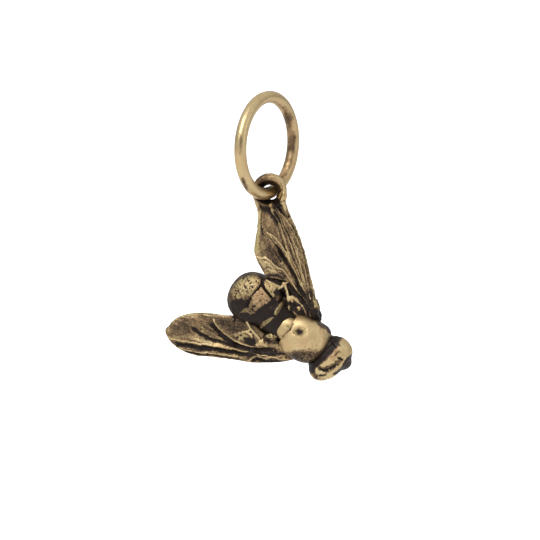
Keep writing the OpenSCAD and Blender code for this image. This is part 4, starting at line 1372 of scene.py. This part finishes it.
def hind_part(back, front):
    """The hind body between two places along X."""
    def shape(p):
        return smooth_max(hind_base(p), np.maximum(back - p[:, 0], p[:, 0] - front), SEAM)
    return shape


def pitted(p):
    """1 inside small ragged pits that gather in patches."""
    return step_up(0.05, 0.35, rough(p, 0.2, 71, 2)) * step_up(-0.2, 0.4, noise(p, 0.9, 72))


def hind_grain(p):
    return layers(p, HIND_GRAIN) - PIT_DEPTH * pitted(p)


def make_hind_body():
    """The three pieces: near black, as dark patina and painted shade, where marks don't brighten them, and
    brown behind.
    """
    for node, slot, back, front in HIND_PIECES:
        cast = sculpt(hind_part(back, front), *HIND_BOX, HIND_STEP, HIND_MARKS, hind_grain)
        cast[2] += HIND_PATINA_AND_SHADE + PITTED_STAIN * pitted(cast[0]) + layers(cast[0], [HIND_SPOTS])
        # Faces turned from the camera lose most of the painted shade and show brown patina
        cast[2] += (HIND_BACK_STAIN - layers(cast[0], [HIND_BACK_CLOUDS])) * turned_away(cast)
        add_piece(node, cast, slot, HIND_REACH)


make_hind_body()


# Crumpled metal beside the waist: straps with pixels, heights and radii in mm

FOLD_STEP = 0.06
FOLD_MARGIN = 1.4
FOLD_GRAIN = ((0.1, 0.9, 81, 3), (0.03, 0.3, 84, 3))
FOLD_PATINA_AND_SHADE = 1.05
FOLD_BACK_STAIN = -0.7
LEFT_FOLDS = [
    ([(281, 298), (289, 303), (297, 311), (303, 319)], (-0.5, -0.4, -0.4, -0.4), (0.6, 0.95, 1.1, 0.9)),
    ([(287, 291), (296, 298), (305, 306), (313, 315)], (-0.1, 0.0, -0.1, -0.2), (0.5, 0.75, 0.85, 0.8)),
    ([(268, 281), (277, 283), (286, 287)], (0.1, 0.15, 0.1), (0.5, 0.7, 0.6)),
    ([(284, 282), (290, 286.5), (297, 294)], (0.15, 0.2, 0.15), (0.5, 0.55, 0.5)),
    ([(313, 303), (314, 311), (316.5, 319)], (-0.1, -0.2, -0.3), (0.4, 0.45, 0.45))]
LEFT_FOLD_MARKS = FACET_MARKS + [
    # Painted glints and highlights on small ridges and facets of the dark metal
    (AREA, 0.12, -1.4, -0.1, 0.8, [(297, 307), (300.5, 307), (300, 311.5), (298, 311)]),
    (LINE, 0.1, -1.3, 0, 0.8, [(286.5, 309), (288.5, 307), (289.6, 311), (290.5, 318.5)]),
    (LINE, 0.06, -0.6, 0, 0.6, [(288, 305.5), (290.5, 306.5)]),
    (LINE, 0.08, -0.75, 0.2, 0.5, [(303, 307), (305.5, 313), (307, 320)]),
    (LINE, 0.08, -0.75, 0.2, 0.5, [(307.5, 301), (309.5, 309), (311, 318)]),
    (LINE, 0.08, -0.8, 0, 0.45, [(312, 304), (313.5, 311), (314.5, 318)]),
    (LINE, 0.06, -0.6, 0.3, 0.5, [(293, 311), (297, 315), (299, 320)]),
    (AREA, 0.03, -1.3, -0.6, 0.9, [(314.3, 300.5), (317, 301), (317.4, 306), (314, 307)]),
    (AREA, 0, -0.35, 0.2, 1.5, [(276, 295), (287, 296), (287, 300.5), (279, 301)])]
RIGHT_FOLDS = [
    ([(251, 323), (259, 331), (268, 339), (277, 347)], (-1.3, -1.1, -0.9, -0.8), (0.7, 0.9, 1.0, 0.9)),
    ([(266, 337.5), (272, 336.5), (279, 335)], (0.1, 0.25, 0.2), (0.35, 0.45, 0.3)),
    ([(269.5, 341), (276, 341)], (-0.1, -0.1), (0.35, 0.4)),
    ([(280, 344), (284, 350), (291, 354)], (-0.9, -0.9, -1.0), (0.7, 0.7, 0.7))]
RIGHT_FOLD_MARKS = [
    # Facets and grains brightened as painted light, with dark holes
    (AREA, 0.03, -0.85, -0.5, 0.8, [(265.5, 336), (269, 333.5), (277, 334), (279, 336.5), (274, 338.5),
        (268, 338.5)]),
    (SPOT, -0.06, 0.8, 0, 0.7, [(269.5, 336.5), (273.5, 336.5)]),
    (AREA, 0.02, -0.5, -0.1, 0.9, [(269.5, 339.5), (277, 339.2), (276, 343), (270.5, 343.2)]),
    (SPOT, 0.05, -0.9, 0, 0.9, [(271.5, 349.3), (273.5, 350)])]


def make_folds(node, folds, marks):
    places = strap_places(folds)
    low, high = places.min(0) - FOLD_MARGIN, places.max(0) + FOLD_MARGIN
    cast = sculpt(straps(folds), low, high, FOLD_STEP, marks, grain_of(FOLD_GRAIN))
    # Near black where the camera sees it, as dark patina and painted shade, and brown where it turns away
    cast[2] += FOLD_PATINA_AND_SHADE + FOLD_BACK_STAIN * turned_away(cast)
    add_piece(node, cast, "veined_metal", HIND_REACH)


make_folds("left_calypter", LEFT_FOLDS, LEFT_FOLD_MARKS)
make_folds("right_calypter", RIGHT_FOLDS, RIGHT_FOLD_MARKS)


# Legs: the hind ones are straps like the folds, the others follow shares of the thorax, as in the part

LEG_STEP = 0.04
LEG_MARGIN = 0.7
LEG_REACH = 0.2
LEG_GRAIN = ((0.04, 0.4, 91, 3), (0.03, 0.2, 94, 3))
HIND_LEG_STAIN = -0.15
HIDDEN_LEG_STAIN = 0.6
LEG_RADII = (0.31, 0.3, 0.27, 0.34, 0.24, 0.2, 0.15)
LEFT_HIND_LEG = [
    ([(306.5, 310.5), (302.7, 306.2), (298.8, 302.3), (295.5, 299), (292, 297), (289, 298.5)],
        (0.35, 0.5, 0.55, 0.6, 0.65, 0.6), (0.07, 0.1, 0.12, 0.18, 0.2, 0.22)),
    ([(289, 298.5), (287.5, 293), (285.8, 287.7), (284.3, 283.6)], (0.6, 0.7, 0.75, 0.75),
        (0.2, 0.14, 0.12, 0.14)),
    ([(284.3, 283.6), (288, 281.8)], (0.75, 0.75), (0.15, 0.07)),
    ([(284.3, 284.6), (280.4, 287.4), (276, 289.5)], (0.75, 0.7, 0.55), (0.16, 0.14, 0.08)),
    ([(289, 298.5), (288.5, 301.5)], (0.6, 0.5), (0.2, 0.08)),
    ([(291, 298), (292.5, 302)], (0.6, 0.55), (0.18, 0.07))]
RIGHT_HIND_LEG = [
    ([(243.5, 315.5), (247, 322), (250.6, 329), (255, 334), (259, 338)], (0.4, 0.55, 0.5, 0.4, 0.3),
        (0.18, 0.13, 0.1, 0.15, 0.16)),
    ([(242, 332), (247.5, 331.8), (251.2, 335), (252, 338)], (0.3, 0.4, 0.4, 0.3),
        (0.07, 0.15, 0.17, 0.07)),
    ([(247.5, 331.8), (250.5, 328.5)], (0.4, 0.45), (0.14, 0.08)),
    ([(257, 344.5), (261, 342.5), (266, 345.5)], (0.05, 0.15, 0.1), (0.22, 0.36, 0.18)),
    ([(262, 342), (263.5, 339)], (0.15, 0.2), (0.26, 0.12))]
LEFT_MID_SHARES = [[0.02, 0.3, -0.28], [-0.02, 0.55, -0.18], [-0.12, 0.7, -0.05], [-0.25, 0.79, 0],
                   [-0.4, 0.76, -0.09], [-0.62, 0.68, -0.22], [-0.8, 0.57, -0.34]]
RIGHT_MID_SHARES = [[0.06, -0.3, -0.28], [0.05, -0.48, -0.22], [-0.1, -0.6, -0.2], [-0.36, -0.78, -0.21],
                    [-0.6, -0.94, -0.22], [-0.8, -1.07, -0.24], [-0.93, -1.1, -0.28]]
LEFT_FORE_SHARES = [[0.28, 0.16, -0.36], [0.4, 0.23, -0.54], [0.56, 0.25, -0.62], [0.76, 0.22, -0.64],
                    [0.88, 0.18, -0.68], [0.76, 0.14, -0.78], [0.58, 0.12, -0.8]]
RIGHT_FORE_SHARES = np.array(LEFT_FORE_SHARES) * [1, -1, 1]


def limb(line):
    def shape(p):
        return tube(p, line, LEG_RADII)
    return shape


def add_leg(node, shape, places, stain_and_painted_light):
    low, high = places.min(0) - LEG_MARGIN, places.max(0) + LEG_MARGIN
    cast = sculpt(shape, low, high, LEG_STEP, (), grain_of(LEG_GRAIN))
    cast[2] += stain_and_painted_light
    add_piece(node, cast, "veined_metal", LEG_REACH)


def make_legs():
    for node, rows in (("left_hind_leg", LEFT_HIND_LEG), ("right_hind_leg", RIGHT_HIND_LEG)):
        add_leg(node, straps(rows), strap_places(rows), HIND_LEG_STAIN)
    for node, shares in (("left_mid_leg", LEFT_MID_SHARES), ("right_mid_leg", RIGHT_MID_SHARES),
                         ("left_fore_leg", LEFT_FORE_SHARES), ("right_fore_leg", RIGHT_FORE_SHARES)):
        line = np.array(shares) * THORAX
        add_leg(node, limb(line), line, HIDDEN_LEG_STAIN)


make_legs()
